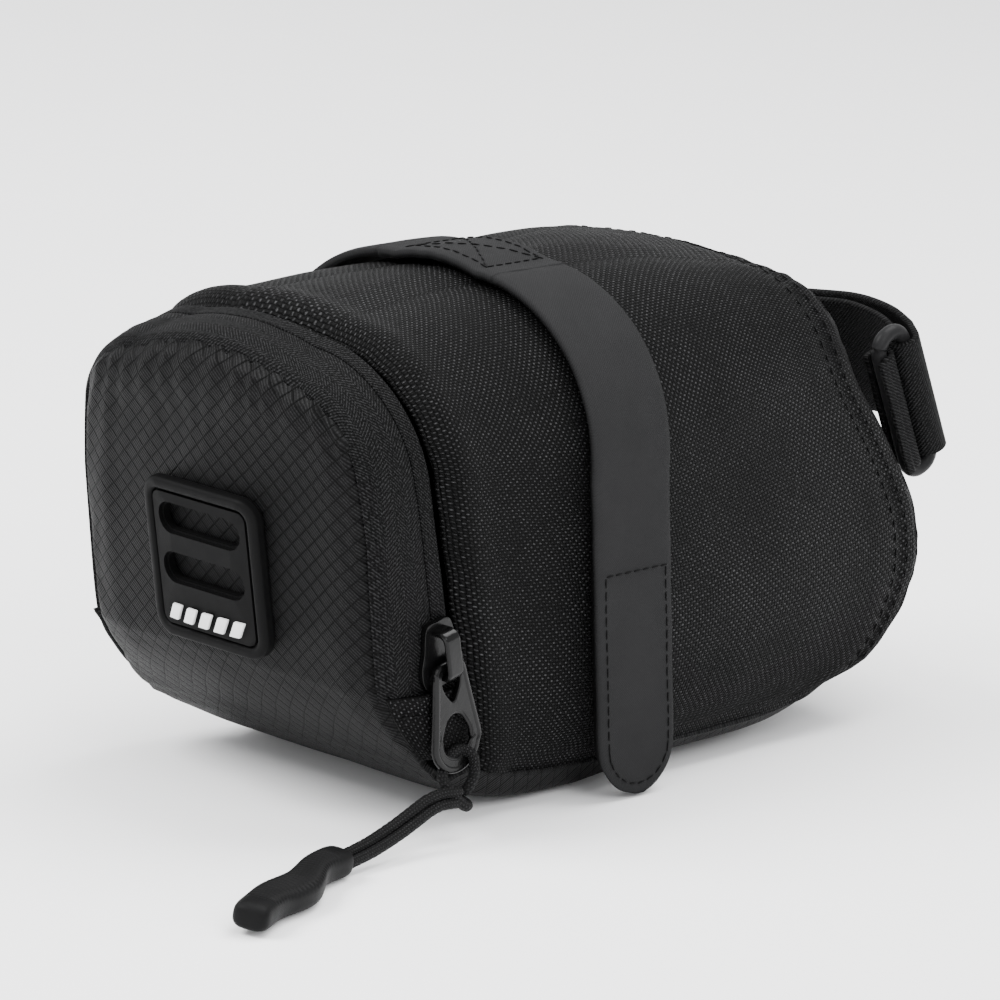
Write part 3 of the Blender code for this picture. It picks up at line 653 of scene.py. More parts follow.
def gussetSurface(t, f):
    lidX, lidZ = arch(t, bag["sideHalf"], bag["lidCrest"], bag["lidRadius"], 4.0, bag["zipLow"])
    bodyX, bodyZ = arch(t, bag["sideHalf"], bag["bodyCrest"] - bag["zipDip"], bag["bodyRadius"], 1.5,
                        bag["zipLow"])
    return mix(narrowed(lidX, lidZ), bodyX, f), mix(lidEdge(lidZ), bodySeam(bodyZ), f), mix(lidZ, bodyZ, f)


def lidSurface(u, v):
    half = bag["sideHalf"] - bag["tucked"]
    x = mix(half, -half, u)
    top = archTop(x, half, bag["lidCrest"] - bag["tucked"], bag["lidRadius"] - bag["tucked"], 4.0)
    z = mix(bag["hingeZ"] + 0.2, top, v)
    roundness = 1 - (x / bag["sideHalf"]) ** 2
    rise = bag["lidCrest"] + 8 - bag["hingeZ"]
    bulge = bag["lidBulge"] * roundness * math.sin(math.pi * (z - bag["hingeZ"]) / rise)
    return narrowed(x, z), lidEdge(z) - bulge, z


def bottomHeight(x, y):
    rear, front = max(0.0, bag["flatRear"] - y), max(0.0, y - 25.0)
    middle = 13.0 * (rear / (bag["flatRear"] - bag["hingeY"])) ** 2.3 + 4.6 * (front / 18.0) ** 2.0
    v = min(max((y - bodySeam(12)) / (frontEdge(10) - bodySeam(12)), 0.0), 1.0)
    edge = max(bag["seamLow"] + 4.0 * abs(2 * v - 1) ** 4 - 2.1, middle)
    keel = min(max((y + 25.0) / 25.0, 0.0), 1.0)
    flat = mix(18.0, 8.0, keel)
    side = max(0.0, (abs(x) - flat) / (35.6 - flat))
    return mix(middle, edge, side ** mix(4.5, 1.6, keel))


def bottomSurface(u, v):
    # The bottom, with its sides turned up into the seam under the body's lower edge.
    y = mix(bag["hingeY"] + 0.5, 43.5, v)
    half = 35.5 - 2.6 * ease((y - 16) / 27)
    x = mix(half, -half, u)
    return x, y, bottomHeight(x, y) + 2.2 * ease((abs(x) - half + 4.0) / 4.0) * ease((y + 68) / 12)


def frontSurface(u, v):
    half = bag["frontHalf"] - bag["tucked"]
    x = mix(half, -half, u)
    top = archTop(x, half, bag["frontCrest"] - bag["tucked"], bag["frontRadius"] - bag["tucked"], 1.5)
    z = mix(mix(5.2, 9.6, (abs(x) / half) ** 2.8), top, v)
    return x, mix(frontEdge(z), frontMiddle(z), 1 - (x / bag["frontHalf"]) ** 2), z


def wrinkle(u, v, scale, seed):
    return noise.noise(Vector((u * scale, v * scale, seed)))


def awayFromMiddle(point):
    return point - Vector((0, -12, 42))


# body panel

bodyLength = 118.0  # millimetres from the zip seam to the front seam
archLength = 225.0


def bodyRelief(t, v):
    # Padding that rolls in at every seam and gathers beside the zip.
    fromZip, fromFront = v * bodyLength, (1 - v) * bodyLength
    fromLow = min(t, 1 - t) * archLength
    depth = -2.4 * (1 - ease(fromZip / 4.4)) ** 1.6 + 1.25 * math.exp(-((fromZip - 6.0) / 4.2) ** 2)
    depth -= 1.1 * (1 - ease(fromFront / 2.5)) + 0.5 * math.exp(-((fromFront - 6.2) / 1.2) ** 2)
    depth -= 0.6 * (1 - ease(fromLow / 2.5))
    depth += 0.35 * math.exp(-((fromFront - 11) / 4) ** 2)
    gather = math.sin(t * 150 + 5 * wrinkle(t, 0, 9, 1)) * math.exp(-fromZip / 7)
    gather += math.sin(t * 130 + 6 * wrinkle(t, 0, 8, 2)) * math.exp(-fromFront / 9)
    slack = wrinkle(t * 2.2, v, 3.0, 3) + 0.5 * wrinkle(t * 2.2, v, 8.0, 4)
    return depth + 0.16 * gather + 0.45 * slack * math.sin(math.pi * v)


bodyPanel = {"surface": bodySurface, "relief": bodyRelief, "outward": awayFromMiddle,
             "across": 190, "along": 96, "wall": bag["shell"], "rowAt": 0.5, "columnAt": 0.3}
keep(makePanel("bodyPanel", bodyPanel, wovenBlack), "root", "woven_polyester", "body_shell")

seamRows = [panelRow(bodyPanel, straightMarks((0.012, v), (0.988, v), 160), 0.12) for v in (0.930, 0.962)]
stitchPiece("bodySeamStitches", seamRows, "root", "woven_polyester", length=2.1, gap=0.9, radius=0.2)


# lid and bottom, cut as one piece of ripstop that folds at the hinge line

foldShare = 0.6


def underAt(u, v):
    if v < foldShare:
        return Vector(bottomSurface(u, 1 - v / foldShare))
    return Vector(lidSurface(u, (v - foldShare) / (1 - foldShare)))


def underSurface(u, v):
    # Bottom and lid as one surface, with the fold at the hinge rounded.
    if abs(v - foldShare) > 0.02:
        return tuple(underAt(u, v))
    return tuple((underAt(u, v - 0.02) + underAt(u, v) * 2 + underAt(u, v + 0.02)) / 4)


def underOutward(point):
    return point - Vector((0, -25, 45))


def underRelief(u, v):
    side = min(u, 1 - u) * 70
    if v < foldShare:
        return 0.35 * wrinkle(u, v, 6, 8) * ease(side / 10) * ease(v / 0.05) * 0.4
    up = (v - foldShare) / (1 - foldShare)
    top = (1 - up) * 71
    edge = min(side, top)
    depth = (-2.0 * (1 - ease(edge / 2.6)) * ease(up / 0.15)
             + 0.8 * math.exp(-((edge - 7) / 5) ** 2) * ease(up / 0.2))
    around = u * 70
    corner = math.exp(-top / 10) + 0.4 * math.exp(-side / 6) * ease(up / 0.3)
    gather = math.sin(around * 1.15 + 4 * wrinkle(u, up, 7, 5)) * corner
    slack = wrinkle(u, up, 3.2, 6) + 0.5 * wrinkle(u, up, 7, 7)
    return depth + 0.28 * gather * ease(up / 0.2) + 0.5 * slack * ease(up / 0.2) * ease(edge / 6)


def underLayOut(u, v):
    # The ripstop lies straight on the cut piece, so its grid runs on round the fold.
    x, y, z = underAt(u, v)
    return x, (y if v < foldShare else bag["hingeY"] - (z - bag["hingeZ"]) * 1.04)


underPanel = {"surface": underSurface, "relief": underRelief, "outward": underOutward, "layOut": underLayOut,
              "across": 84, "along": 190, "wall": bag["shell"]}
underPiece = makePanel("ripstopPanel", underPanel, ripstopGrey)
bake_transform(underPiece)
keep(underPiece, None, "ripstop_cloth", "lid_panel", "bottom_panel")


# front panel

def frontRelief(u, v):
    edge = min(min(u, 1 - u) * 68, v * 90, (1 - v) * 90)
    gather = math.sin(v * 80 + 4 * wrinkle(u, v, 6, 11)) * math.exp(-min(u, 1 - u) * 68 / 7)
    slack = wrinkle(u, v, 3.5, 10) + 0.5 * wrinkle(u, v, 8, 12)
    return -0.9 * (1 - ease(edge / 3)) + 0.15 * gather + 0.4 * slack * ease(edge / 8)


frontPanel = {"surface": frontSurface, "relief": frontRelief, "outward": lambda point: Vector((0, 1, 0)),
              "across": 64, "along": 84, "wall": bag["shell"],
              "layOut": lambda u, v: (frontSurface(u, v)[0], frontSurface(u, v)[2] * 1.12)}
keep(makePanel("frontPanel", frontPanel, ripstopGrey), "root", "ripstop_cloth", "front_panel")


# padded lining behind each panel

def partOf(surface, firstU, lastU, firstV, lastV):
    return lambda u, v: surface(mix(firstU, lastU, u), mix(firstV, lastV, v))


liners = {
    "bodyLining": (bodyPanel, (0.045, 0.955, 0.03, 0.95), "root", "body_liner", 90, 40, bodySurface, 0.0),
    "frontLining": (frontPanel, (0.09, 0.91, 0.10, 0.93), "root", "front_liner", 30, 36, frontSurface, 0.0),
    "bottomLining": (underPanel, (0.12, 0.88, 0.07, 0.94), "root", "bottom_liner", 30, 44, bottomSurface, 0.35),
    "lidLining": (underPanel, (0.09, 0.91, 0.10, 0.93), "lid", "lid_liner", 30, 32, lidSurface, 0.0),
}
for name, (outer, part, body, node, across, along, surface, extra) in liners.items():
    inner = {"surface": partOf(surface, *part), "outward": outer["outward"], "across": across, "along": along,
             "relief": lambda u, v: -0.5 * max(0.0, math.sin(v * 9 * math.pi)) ** 12,
             "wall": bag["liner"]}
    piece = makePanel(name, inner, liningCloth, -(bag["shell"] + bag["layerGap"] + extra))
    keep(piece, body, "padded_lining", node)
print("panels made")


# zip: two tapes, two rows of teeth and the folded end tabs

def gussetBand(first, last):
    return lambda t, v: gussetSurface(t, mix(first, last, v))


def tapeRelief(seamFirst):
    # A tape sinks into its seam, and the wide one on the lid puffs up between seam and teeth.
    puff, sink, reach = (0.55, 1.4, 0.14) if seamFirst else (0.0, 2.7, 0.5)

    def relief(t, v):
        seam = v if seamFirst else 1 - v
        raised = puff * math.sin(math.pi * min(1.0, seam))
        return raised - sink * (1 - ease(seam / reach)) + 0.14 * wrinkle(t, v, 14, 20)
    return relief


zipParts = {
    "zipTapeLid": (0.0, bag["zipShare"] - bag["sewnSlot"], True, "lid", "zip_tape_lid", 12),
    "zipTapeBody": (bag["zipShare"] + bag["sewnSlot"], 1.03, False, "root", "zip_tape_body", 8),
}
tapePanels = {}
for name, (first, last, seamFirst, body, node, along) in zipParts.items():
    tapePanels[name] = {"surface": gussetBand(first, last), "relief": tapeRelief(seamFirst),
                        "outward": awayFromMiddle, "across": 170, "along": along, "wall": bag["tape"]}
    keep(makePanel(name, tapePanels[name], tapeCloth), body, "zip_tape_cloth", node)

teeth = {"pitch": 1.25, "size": (0.95, 1.7, 0.75), "depth": 1.25}


def makeTeeth(name, share, body, node):
    # One row of coil teeth behind the tape's edge.
    band = {"surface": gussetSurface, "outward": awayFromMiddle}
    marks = [k / 400 for k in range(401)]
    points = [panelPoint(band, t, share, -(bag["tape"] + teeth["depth"])) for t in marks]
    bm = bmesh.new()
    run, due = 0.0, 0.0
    for k in range(len(points) - 1):
        part = (points[k + 1] - points[k]).length
        while due <= run + part:
            t = mix(marks[k], marks[k + 1], (due - run) / part)
            normal = panelNormal(band, t, share)
            ahead = (points[k + 1] - points[k]).normalized()
            place = points[k].lerp(points[k + 1], (due - run) / part)
            cross = normal.cross(ahead)
            turned = Matrix((ahead * teeth["size"][0] / 2, cross * teeth["size"][1] / 2,
                             normal * teeth["size"][2])).transposed().to_4x4()
            bmesh.ops.create_uvsphere(bm, u_segments=6, v_segments=4, radius=1.0,
                                      matrix=Matrix.Translation(place) @ turned)
            due += teeth["pitch"]
        run += part
    return keep(finishPiece(name, bm, coilNylon, 180), body, "zip_coil_nylon", node)


makeTeeth("lidTeeth", bag["zipShare"] - 0.075, "lid", "zip_coil_lid")
makeTeeth("bodyTeeth", bag["zipShare"] + 0.075, "root", "zip_coil_body")


def endTabSurface(side):
    def surface(u, v):
        z = mix(14.2, 27.0, v)
        bow = 0.4 * math.sin(math.pi * u) - 1.1 * (1 - ease(u / 0.35)) - 0.6 * (1 - ease((1 - u) / 0.2))
        return side * (bag["sideHalf"] + 1.2 + bow), mix(lidEdge(z) + 0.7, bodySeam(z) - 0.3, u), z
    return surface


def endTabRelief(u, v):
    return 0.45 * ease((v - 0.8) / 0.12) - 0.5 * (1 - ease(v / 0.2)) + 0.15 * wrinkle(u, v, 4, 30)


for side, word in ((1, "Right"), (-1, "Left")):
    tab = {"surface": endTabSurface(side), "outward": lambda point, side=side: Vector((side, 0, 0)),
           "relief": endTabRelief, "across": 28, "along": 20, "wall": 0.9}
    keep(makePanel("endTab" + word, tab, wovenBlack),
         "root", "woven_polyester", "zip_end_tab_" + word.lower())
    stitchPiece("endTabStitches" + word, [panelRow(tab, straightMarks((0.06, 0.72), (0.94, 0.72), 20))],
                "root", "woven_polyester", length=1.6, gap=0.6, radius=0.2)
print("zip made")


# plates with holes, for the slider, the pull and the badge

def roundRectangle(width, height, radius, steps=6, x=0.0, up=0.0):
    points = []
    for corner, (sx, sy) in enumerate(((1, 1), (-1, 1), (-1, -1), (1, -1))):
        for step in range(steps + 1):
            turn = (corner + step / steps) * math.pi / 2
            points.append((x + sx * (width / 2 - radius) + radius * math.cos(turn),
                           up + sy * (height / 2 - radius) + radius * math.sin(turn)))
    return points


def smoothLoop(points, count):
    # A closed smooth outline through a few points.
    around = list(points) + list(points[:3])
    route = []
    for k in range(len(points)):
        four = [Vector((*around[(k + j) % len(points)], 0)) for j in range(4)]
        for step in range(count):
            p = curveAt(*four, step / count)
            route.append((p.x, p.y))
    return route


def addPlate(bm, rim, holes, low, high, place, bevel=0.0, segments=3):
    # A flat plate with an outline and holes, raised between two levels and rounded at its edges.
    part = bmesh.new()
    edges = []
    for loop in [rim, *holes]:
        verts = [part.verts.new((a, b, low)) for a, b in loop]
        edges += [part.edges.new((verts[k - 1], verts[k])) for k in range(len(verts))]
    bmesh.ops.triangle_fill(part, use_beauty=True, use_dissolve=False, edges=edges)
    raised = bmesh.ops.extrude_face_region(part, geom=part.faces[:])
    bmesh.ops.translate(part, vec=(0, 0, high - low),
                        verts=[item for item in raised["geom"] if isinstance(item, bmesh.types.BMVert)])
    bmesh.ops.recalc_face_normals(part, faces=part.faces)
    if bevel:
        sharp = [e for e in part.edges if len(e.link_faces) == 2 and e.calc_face_angle(0) > math.radians(60)]
        bmesh.ops.bevel(part, geom=sharp, offset=bevel, offset_type="OFFSET", segments=segments, profile=0.5,
                        affect="EDGES", material=-1, clamp_overlap=True)
    for vert in part.verts:
        vert.co = place(vert.co)
    mesh = bpy.data.meshes.new("part")
    part.to_mesh(mesh)
    part.free()
    bm.from_mesh(mesh)
    bpy.data.meshes.remove(mesh)


# slider, in its own frame: s up the zip, e across it, n out of the bag

slider = {"height": 33.6, "halfBridge": 1.8}
zipUpper = Vector(gussetSurface(0.14, bag["zipShare"]))
zipLower = Vector(gussetSurface(0.001, bag["zipShare"]))
zipWay = (zipUpper - zipLower).normalized()
zipAcross = Vector((0, zipWay.z, -zipWay.y))
sliderPlace = zipLower + zipWay * ((slider["height"] - zipLower.z) / zipWay.z)


def fromSlider(s, e, n):
    return sliderPlace + zipWay * s + zipAcross * e + Vector((n, 0, 0))


def onSliderPlate(point):
    return fromSlider(point.x, point.y, point.z)


def onSliderSide(point):
    # For shapes drawn as (s, n) and raised across the zip.
    return fromSlider(point.x, point.z, point.y)


plateHalf = [(6.3, 0.0), (6.2, 2.6), (4.2, 3.5), (1.6, 4.0), (-0.8, 4.9), (-3.2, 5.1), (-5.2, 4.3), (-6.3, 2.6),
             (-5.7, 0.9)]
plateRim = smoothLoop(plateHalf + [(s, -e) for s, e in reversed(plateHalf[1:])], 4)
bridgeRim = [(5.2, 1.0), (5.2, 3.3), (4.7, 4.4), (3.6, 5.0), (-2.6, 5.0), (-3.7, 4.4), (-4.2, 3.3), (-4.2, 1.0),
             (-3.1, 1.0), (-3.1, 3.2), (-2.8, 3.7), (-2.2, 3.95), (3.1, 3.95), (3.8, 3.7), (4.1, 3.2),
             (4.1, 1.0)]
sliderMesh = bmesh.new()
coilBack = -(bag["tape"] + 0.3 + bag["coil"])
addPlate(sliderMesh, plateRim, [], 0.3, 1.5, onSliderPlate, 0.42)
backRim = [(s * 0.97, e * 0.97) for s, e in plateRim]
addPlate(sliderMesh, backRim, [], coilBack - 1.4, coilBack - 0.3, onSliderPlate, 0.3)
addPlate(sliderMesh, bridgeRim, [], -slider["halfBridge"], slider["halfBridge"], onSliderSide, 0.8, 5)
addPlate(sliderMesh, roundRectangle(2.0, 0.6, 0.25, 3, -3.6, 0.0), [], coilBack - 0.9, 0.9, onSliderPlate)
sliderPiece = finishPiece("zipSliderMetal", sliderMesh, metalBlack, 50, flat=True)
keep(sliderPiece, "slider", "black_lacquered_metal", "zip_slider")


# pull tab

pull = {"pivot": (-1.7, 2.7), "length": 20.2, "endRadius": 5.9, "rim": 0.62}


def tabHalfWidth(down):
    start = pull["length"] - pull["endRadius"]
    if down > start:
        return pull["endRadius"] * math.sqrt(max(0.0, 1 - ((down - start) / pull["endRadius"]) ** 2))
    return mix(3.7, pull["endRadius"], max(0.0, down / start) ** 1.1)


def tabRim(shrink=0.0):
    start = pull["length"] - pull["endRadius"]
    radius = pull["endRadius"] - shrink
    side = [(-0.7 + shrink, 2.9 - shrink), (-0.3 + shrink, 3.5 - shrink)]
    side += [(down, tabHalfWidth(down) - shrink) for down in (1.5, 4.0, 7.0, 10.0, 12.5, start)]
    for step in range(1, 8):
        turn = step / 8 * math.pi / 2
        side.append((start + radius * math.sin(turn), radius * math.cos(turn)))
    whole = side + [(pull["length"] - shrink, 0.0)] + [(down, -e) for down, e in reversed(side)]
    return [(pull["pivot"][0] - down, e) for down, e in whole]


def rimRoute(points, n):
    # A closed route of even steps along an outline, at one height over the slider's plate.
    ring = [fromSlider(s, e, n) for s, e in points]
    closed = ring + [ring[0]]
    lengths = runningLengths(closed)
    route = []
    for place in np.linspace(0, lengths[-1], 90, endpoint=False):
        k = int(np.searchsorted(lengths, place, side="right")) - 1
        part = lengths[k + 1] - lengths[k]
        route.append(closed[k].lerp(closed[k + 1], float((place - lengths[k]) / part) if part else 0.0))
    return route


def tabLoop(half, grow=0.0):
    # A smooth closed outline on the tab, from (distance below the axis, half width) points of one side.
    middle = (half[0][0] + half[-1][0]) / 2
    side = [(down + math.copysign(grow, down - middle) * (e < 1.5), e + grow * (e > 0.1)) for down, e in half]
    whole = side + [(down, -e) for down, e in reversed(side) if e > 0.1]
    return smoothLoop([(pull["pivot"][0] - down, e) for down, e in whole], 4)


bridgeHole = tabLoop([(0.8, 0.0), (1.0, 1.6), (2.4, 2.3), (4.4, 1.9), (6.2, 0.8), (6.9, 0.0)])
eyePoints = [(9.0, 0.0), (9.5, 1.7), (11.4, 2.9), (13.8, 3.75), (16.1, 3.2), (17.4, 1.5), (17.7, 0.0)]
eyeHole = tabLoop(eyePoints)
tabMesh = bmesh.new()
tabLevel = pull["pivot"][1]
addPlate(tabMesh, tabRim(), [bridgeHole, eyeHole], tabLevel - 0.55, tabLevel + 0.55, onSliderPlate, 0.25)
tabPiece = finishPiece("pullTabPlate", tabMesh, metalBlack, 50, flat=True)
keep(tabPiece, "puller", "black_lacquered_metal", "pull_tab")
rimPiece = makeTube("pullTabRim", rimRoute(tabRim(pull["rim"]), tabLevel), pull["rim"], metalBlack, 12, True,
                    lambda turn, length, share: (0.72, 0.85))
keep(rimPiece, "puller", "black_lacquered_metal")
eyeRimPiece = makeTube("pullTabEyeRim", rimRoute(tabLoop(eyePoints, 0.35), tabLevel), 0.5, metalBlack, 10, True,
                       lambda turn, length, share: (0.5, 0.78))
keep(eyeRimPiece, "puller", "black_lacquered_metal")


# doubled cord, its cow hitch and the moulded grip

cordSettings = {
    "diameter": 2.0, "spread": 0.96,
    "lead": [(40.6, -65.4, 8.0), (40.8, -67.8, 8.3), (40.5, -70.6, 8.3)],  # out of the hitch
    "route": [(40.3, -73.6, 7.6), (40.4, -76.9, 6.4), (40.6, -81.9, 4.7), (41.4, -88.7, 3.3),
              (42.2, -95.5, 2.6)],
    "inGrip": [(42.8, -99.0, 2.9), (43.8, -102.0, 3.0)],
}
gripRoute = [(42.1, -96.0, 2.8), (44.6, -105.0, 3.1), (49.8, -114.0, 3.0), (52.2, -123.5, 3.1),
             (57.0, -133.5, 3.3)]
cordRadius = cordSettings["diameter"] / 2


def braidShape(turn, length, share):
    # Eight-strand braid: crossing bundles that stand a little proud.
    left = math.sin(5 * turn + length * 2 * math.pi / 1.5)
    right = math.sin(5 * turn - length * 2 * math.pi / 1.5)
    radius = cordRadius * (0.96 + 0.05 * max(left, right))
    return radius, radius


def strandRoute(side, count=150):
    middle = smoothRoute(cordSettings["lead"] + cordSettings["route"] + cordSettings["inGrip"], count)
    route = []
    for k, place in enumerate(middle):
        ahead, across, up = routeFrame(middle, k)
        share = k / count
        twist = mix(1.35, 0.5, ease(share * 1.3))
        sideways = across * math.cos(twist) + up * math.sin(twist)
        route.append(place + sideways * (side * cordSettings["spread"]))
    return route


strands = []
for side, word in ((-1, "Left"), (1, "Right")):
    route = strandRoute(side)
    strand = makeTube("cordStrand" + word, route, cordRadius, cordBraid, 24, False, braidShape)
    strands.append((strand, [toBag(place) for place in route]))

# (distance below the tab's axis, across, out) along the bight: through the eye, round the tip, round the cord
hitchMarks = [(24.2, -0.6, 0.4), (23.2, 0.2, 1.5), (21.0, 1.6, 1.9), (18.0, 2.2, 1.4), (16.7, 1.2, 0.0),
              (16.7, -0.8, -0.5), (18.2, -3.0, -0.6), (20.2, -4.3, 0.0), (22.0, -4.0, 1.1), (24.0, -3.2, 1.9),
              (25.8, -1.8, 2.2), (26.4, -0.4, 1.3), (25.8, -0.6, 0.1), (24.8, -1.8, -0.4), (24.0, -2.6, 0.2)]
hitchRoute = [fromSlider(pull["pivot"][0] - down, e, pull["pivot"][1] + out) for down, e, out in hitchMarks]
hitchPiece = makeTube("cordHitchLoop", smoothRoute(hitchRoute, 260), cordRadius, cordBraid, 24, False,
                      braidShape)
keep(hitchPiece, "puller", "cord_braid", "cord_hitch")


def gripShape(turn, length, share):
    # Flattened bar with smooth edges, a waist near its mouth and fine ribs across both flats.
    wide = mix(2.8, 3.7, min(1.0, share * 1.5)) + 0.35 * math.cos(share * 11)
    high = 2.55
    flat = abs(math.sin(turn)) ** 3
    inside = ease((length - 4.0) / 2) * ease((36.0 - length) / 2)
    rib = (0.5 + 0.5 * math.cos(length * 2 * math.pi / 1.15)) * inside * flat
    square = 1 / (abs(math.cos(turn)) ** 3 + abs(math.sin(turn)) ** 3) ** (1 / 3)
    end = (1 - abs(2 * share - 1) ** 16) ** 0.5
    return wide * square * end, (high * square - 0.5 * rib) * end


gripPiece = makeTube("cordGripMoulded", smoothRoute(gripRoute, 330), 3.2, gripRubber, 40, False, gripShape,
                     False)
keep(gripPiece, "puller", "grip_rubber", "cord_grip")
for (strand, path), word, partners in zip(strands, ("left", "right"), ([gripPiece], [hitchPiece])):
    keep(strand, "puller", "cord_braid", "pull_cord_" + word)
print("pull made")


# badge on the lid

badge = {"size": (27.8, 30.2), "rim": 2.2, "slots": (8.0, -1.4), "slotSize": (19.2, 5.1), "height": 44.5,
         "thick": 2.5, "bars": 5, "barPitch": 3.8, "barHeight": -9.8}
badgeLow, badgeHigh = Vector(lidSurface(0.5, 0.25)), Vector(lidSurface(0.5, 0.65))
badgeUp = (badgeHigh - badgeLow).normalized()
badgeOut = Vector((0, -badgeUp.z, badgeUp.y))
badgeShare = (badge["height"] - bag["hingeZ"]) / (bag["lidCrest"] - bag["hingeZ"])
badgeCentre = Vector(lidSurface(0.5, badgeShare)) + badgeOut * 0.45


def onBadge(point):
    # Badge shapes follow the lid's crown.
    sink = 0.006 * point.x ** 2
    return badgeCentre + Vector((point.x, 0, 0)) + badgeUp * point.y + badgeOut * (point.z - sink + 0.3)


badgeMesh = bmesh.new()
wide, tall = badge["size"]
slotRims = [roundRectangle(*badge["slotSize"], 2.5, 8, 0.0, up) for up in badge["slots"]]
inner = 2 * badge["rim"]
addPlate(badgeMesh, roundRectangle(wide, tall, 4.2, 8), [roundRectangle(wide - inner, tall - inner, 2.2, 8)],
         -0.3, badge["thick"], onBadge, 0.9, 5)
addPlate(badgeMesh, roundRectangle(wide - inner + 0.3, tall - inner + 0.3, 2.3, 8), slotRims,
         -0.2, 1.2, onBadge)
addPlate(badgeMesh, roundRectangle(wide - inner - 0.7, tall - inner - 0.7, 1.8, 8),
         [roundRectangle(20.0, 5.9, 2.9, 8, 0.0, up) for up in badge["slots"]], 0.9, 2.1, onBadge, 0.3, 3)
badgePiece = finishPiece("badgeMoulding", badgeMesh, badgeRubber, 40, flat=True)
keep(badgePiece, "lid", "badge_rubber", "badge_plate")

markMesh = bmesh.new()
for k in range(badge["bars"]):
    middle = (k - badge["bars"] // 2) * badge["barPitch"]
    bar = [(middle - 1.9, -1.5), (middle + 0.5, -1.5), (middle + 1.9, 1.5), (middle - 0.5, 1.5)]
    addPlate(markMesh, [(x, up + badge["barHeight"]) for x, up in bar], [], 1.9, 2.6, onBadge, 0.2, 2)
keep(finishPiece("badgeBars", markMesh, markRubber, 40), "lid", "mark_rubber", "badge_mark")
print("badge made")


# rail strap

railStrap = {"width": 20.0, "thick": 1.5, "y": -26.5, "half": 40.2, "sewn": 14.0, "endZ": 0.7,
             "radius": 30.3, "crest": 92.9, "drop": 1.5, "patch": 44.0}
strapFlat = railStrap["half"] - railStrap["radius"]
strapBend = railStrap["radius"] * math.pi / 2
strapCentreZ = railStrap["crest"] - railStrap["drop"] - railStrap["radius"]
strapLength = strapFlat + strapBend + strapCentreZ - railStrap["endZ"]


def strapLine(distance, lift=0.0):
    # Point (x, z) at a distance along the strap's inner face, from the middle of the top.
    radius = railStrap["radius"] + lift
    if distance < strapFlat:
        return distance, railStrap["crest"] + lift - railStrap["drop"] * (distance / strapFlat) ** 2
    if distance < strapFlat + strapBend:
        turn = (distance - strapFlat) / railStrap["radius"]
        return strapFlat + radius * math.sin(turn), strapCentreZ + radius * math.cos(turn)
    return railStrap["half"] + lift, strapCentreZ - (distance - strapFlat - strapBend)


def strapMiddleY(z):
    return railStrap["y"] + 0.125 * max(0.0, 60 - z)


def strapEndHalf(toEnd, half):
    if toEnd >= half:
        return half
    return half * math.sqrt(max(0.015, 1 - ((half - toEnd) / half) ** 2))


def strapSide(side, first, last, lift, half):
    def surface(u, v):
        distance = mix(first, last, u ** 0.9)
        x, z = strapLine(distance, lift)
        wide = strapEndHalf(last - distance, half)
        return side * x, strapMiddleY(z) + mix(-wide, wide, v), z
    return surface


def strapTopSurface(u, v):
    x, z = strapLine(abs(mix(-railStrap["sewn"], railStrap["sewn"], u)), railStrap["thick"])
    return math.copysign(x, u - 0.5), railStrap["y"] + mix(-0.5, 0.5, v) * railStrap["width"], z


def strapRelief(u, v):
    edge = min(v, 1 - v) * railStrap["width"]
    return -0.45 * (1 - ease(edge / 1.2)) + 0.16 * wrinkle(u * 5, v, 2.5, 40)


strapTop = {"surface": strapTopSurface, "outward": lambda point: Vector((0, 0, 1)), "relief": strapRelief,
            "across": 44, "along": 28, "wall": railStrap["thick"]}
keep(makePanel("railStrapTop", strapTop, strapCloth), "root", "brushed_strap_cloth", "rail_strap_top")
boxX = [((0.14, 0.14), (0.86, 0.14)), ((0.86, 0.14), (0.86, 0.86)), ((0.86, 0.86), (0.14, 0.86)),
        ((0.14, 0.86), (0.14, 0.14)), ((0.14, 0.14), (0.86, 0.86)), ((0.86, 0.14), (0.14, 0.86))]
stitchPiece("strapBoxStitches", [panelRow(strapTop, straightMarks(a, b, 30), 0.15) for a, b in boxX],
            "root", "brushed_strap_cloth", length=2.0, gap=0.35, radius=0.19)

patchFrom = strapLength - railStrap["patch"]
for side, word in ((1, "Right"), (-1, "Left")):
    first = railStrap["sewn"] + 0.1
    outward = lambda point, side=side: Vector((side, 0, 0.3))
    body = "strap_" + word.lower()
    sidePanel = {"surface": strapSide(side, first, strapLength, railStrap["thick"], 10.0), "outward": outward,
                 "relief": strapRelief, "across": 130, "along": 28, "wall": railStrap["thick"]}
    strapPiece = makePanel("railStrap" + word, sidePanel, strapCloth)
    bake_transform(strapPiece)
    keep(strapPiece, None, "brushed_strap_cloth", "rail_strap_" + word.lower())
    patch = {"surface": strapSide(side, patchFrom, strapLength - 1.5, -0.3, 9.0), "outward": outward,
             "across": 50, "along": 20, "wall": 0.8}
    keep(makePanel("hookPatch" + word, patch, hookCloth), body, "hook_tape", "hook_patch_" + word.lower())

    def share(distance):
        return ((distance - first) / (strapLength - first)) ** (1 / 0.9)

    def rowAlong(v):
        return [(share(mix(patchFrom + 2.0, strapLength - 7.0, k / 50)), v) for k in range(51)]

    endTurn = []
    for k in range(25):
        turn = math.pi * k / 24
        distance = strapLength - 9.6 + 7.6 * math.sin(turn)
        wide = strapEndHalf(strapLength - distance, 10.0)
        endTurn.append((share(distance), 0.5 - 0.5 * math.cos(turn) * 8.0 / wide))
    topShare = share(patchFrom + 2)
    rows = [panelRow(sidePanel, rowAlong(0.10), 0.12), panelRow(sidePanel, rowAlong(0.90), 0.12),
            panelRow(sidePanel, straightMarks((topShare, 0.1), (topShare, 0.9), 30), 0.12),
            panelRow(sidePanel, endTurn, 0.12)]
    stitchPiece("patchStitches" + word, rows, body, "brushed_strap_cloth", length=2.1, gap=0.3, radius=0.19)
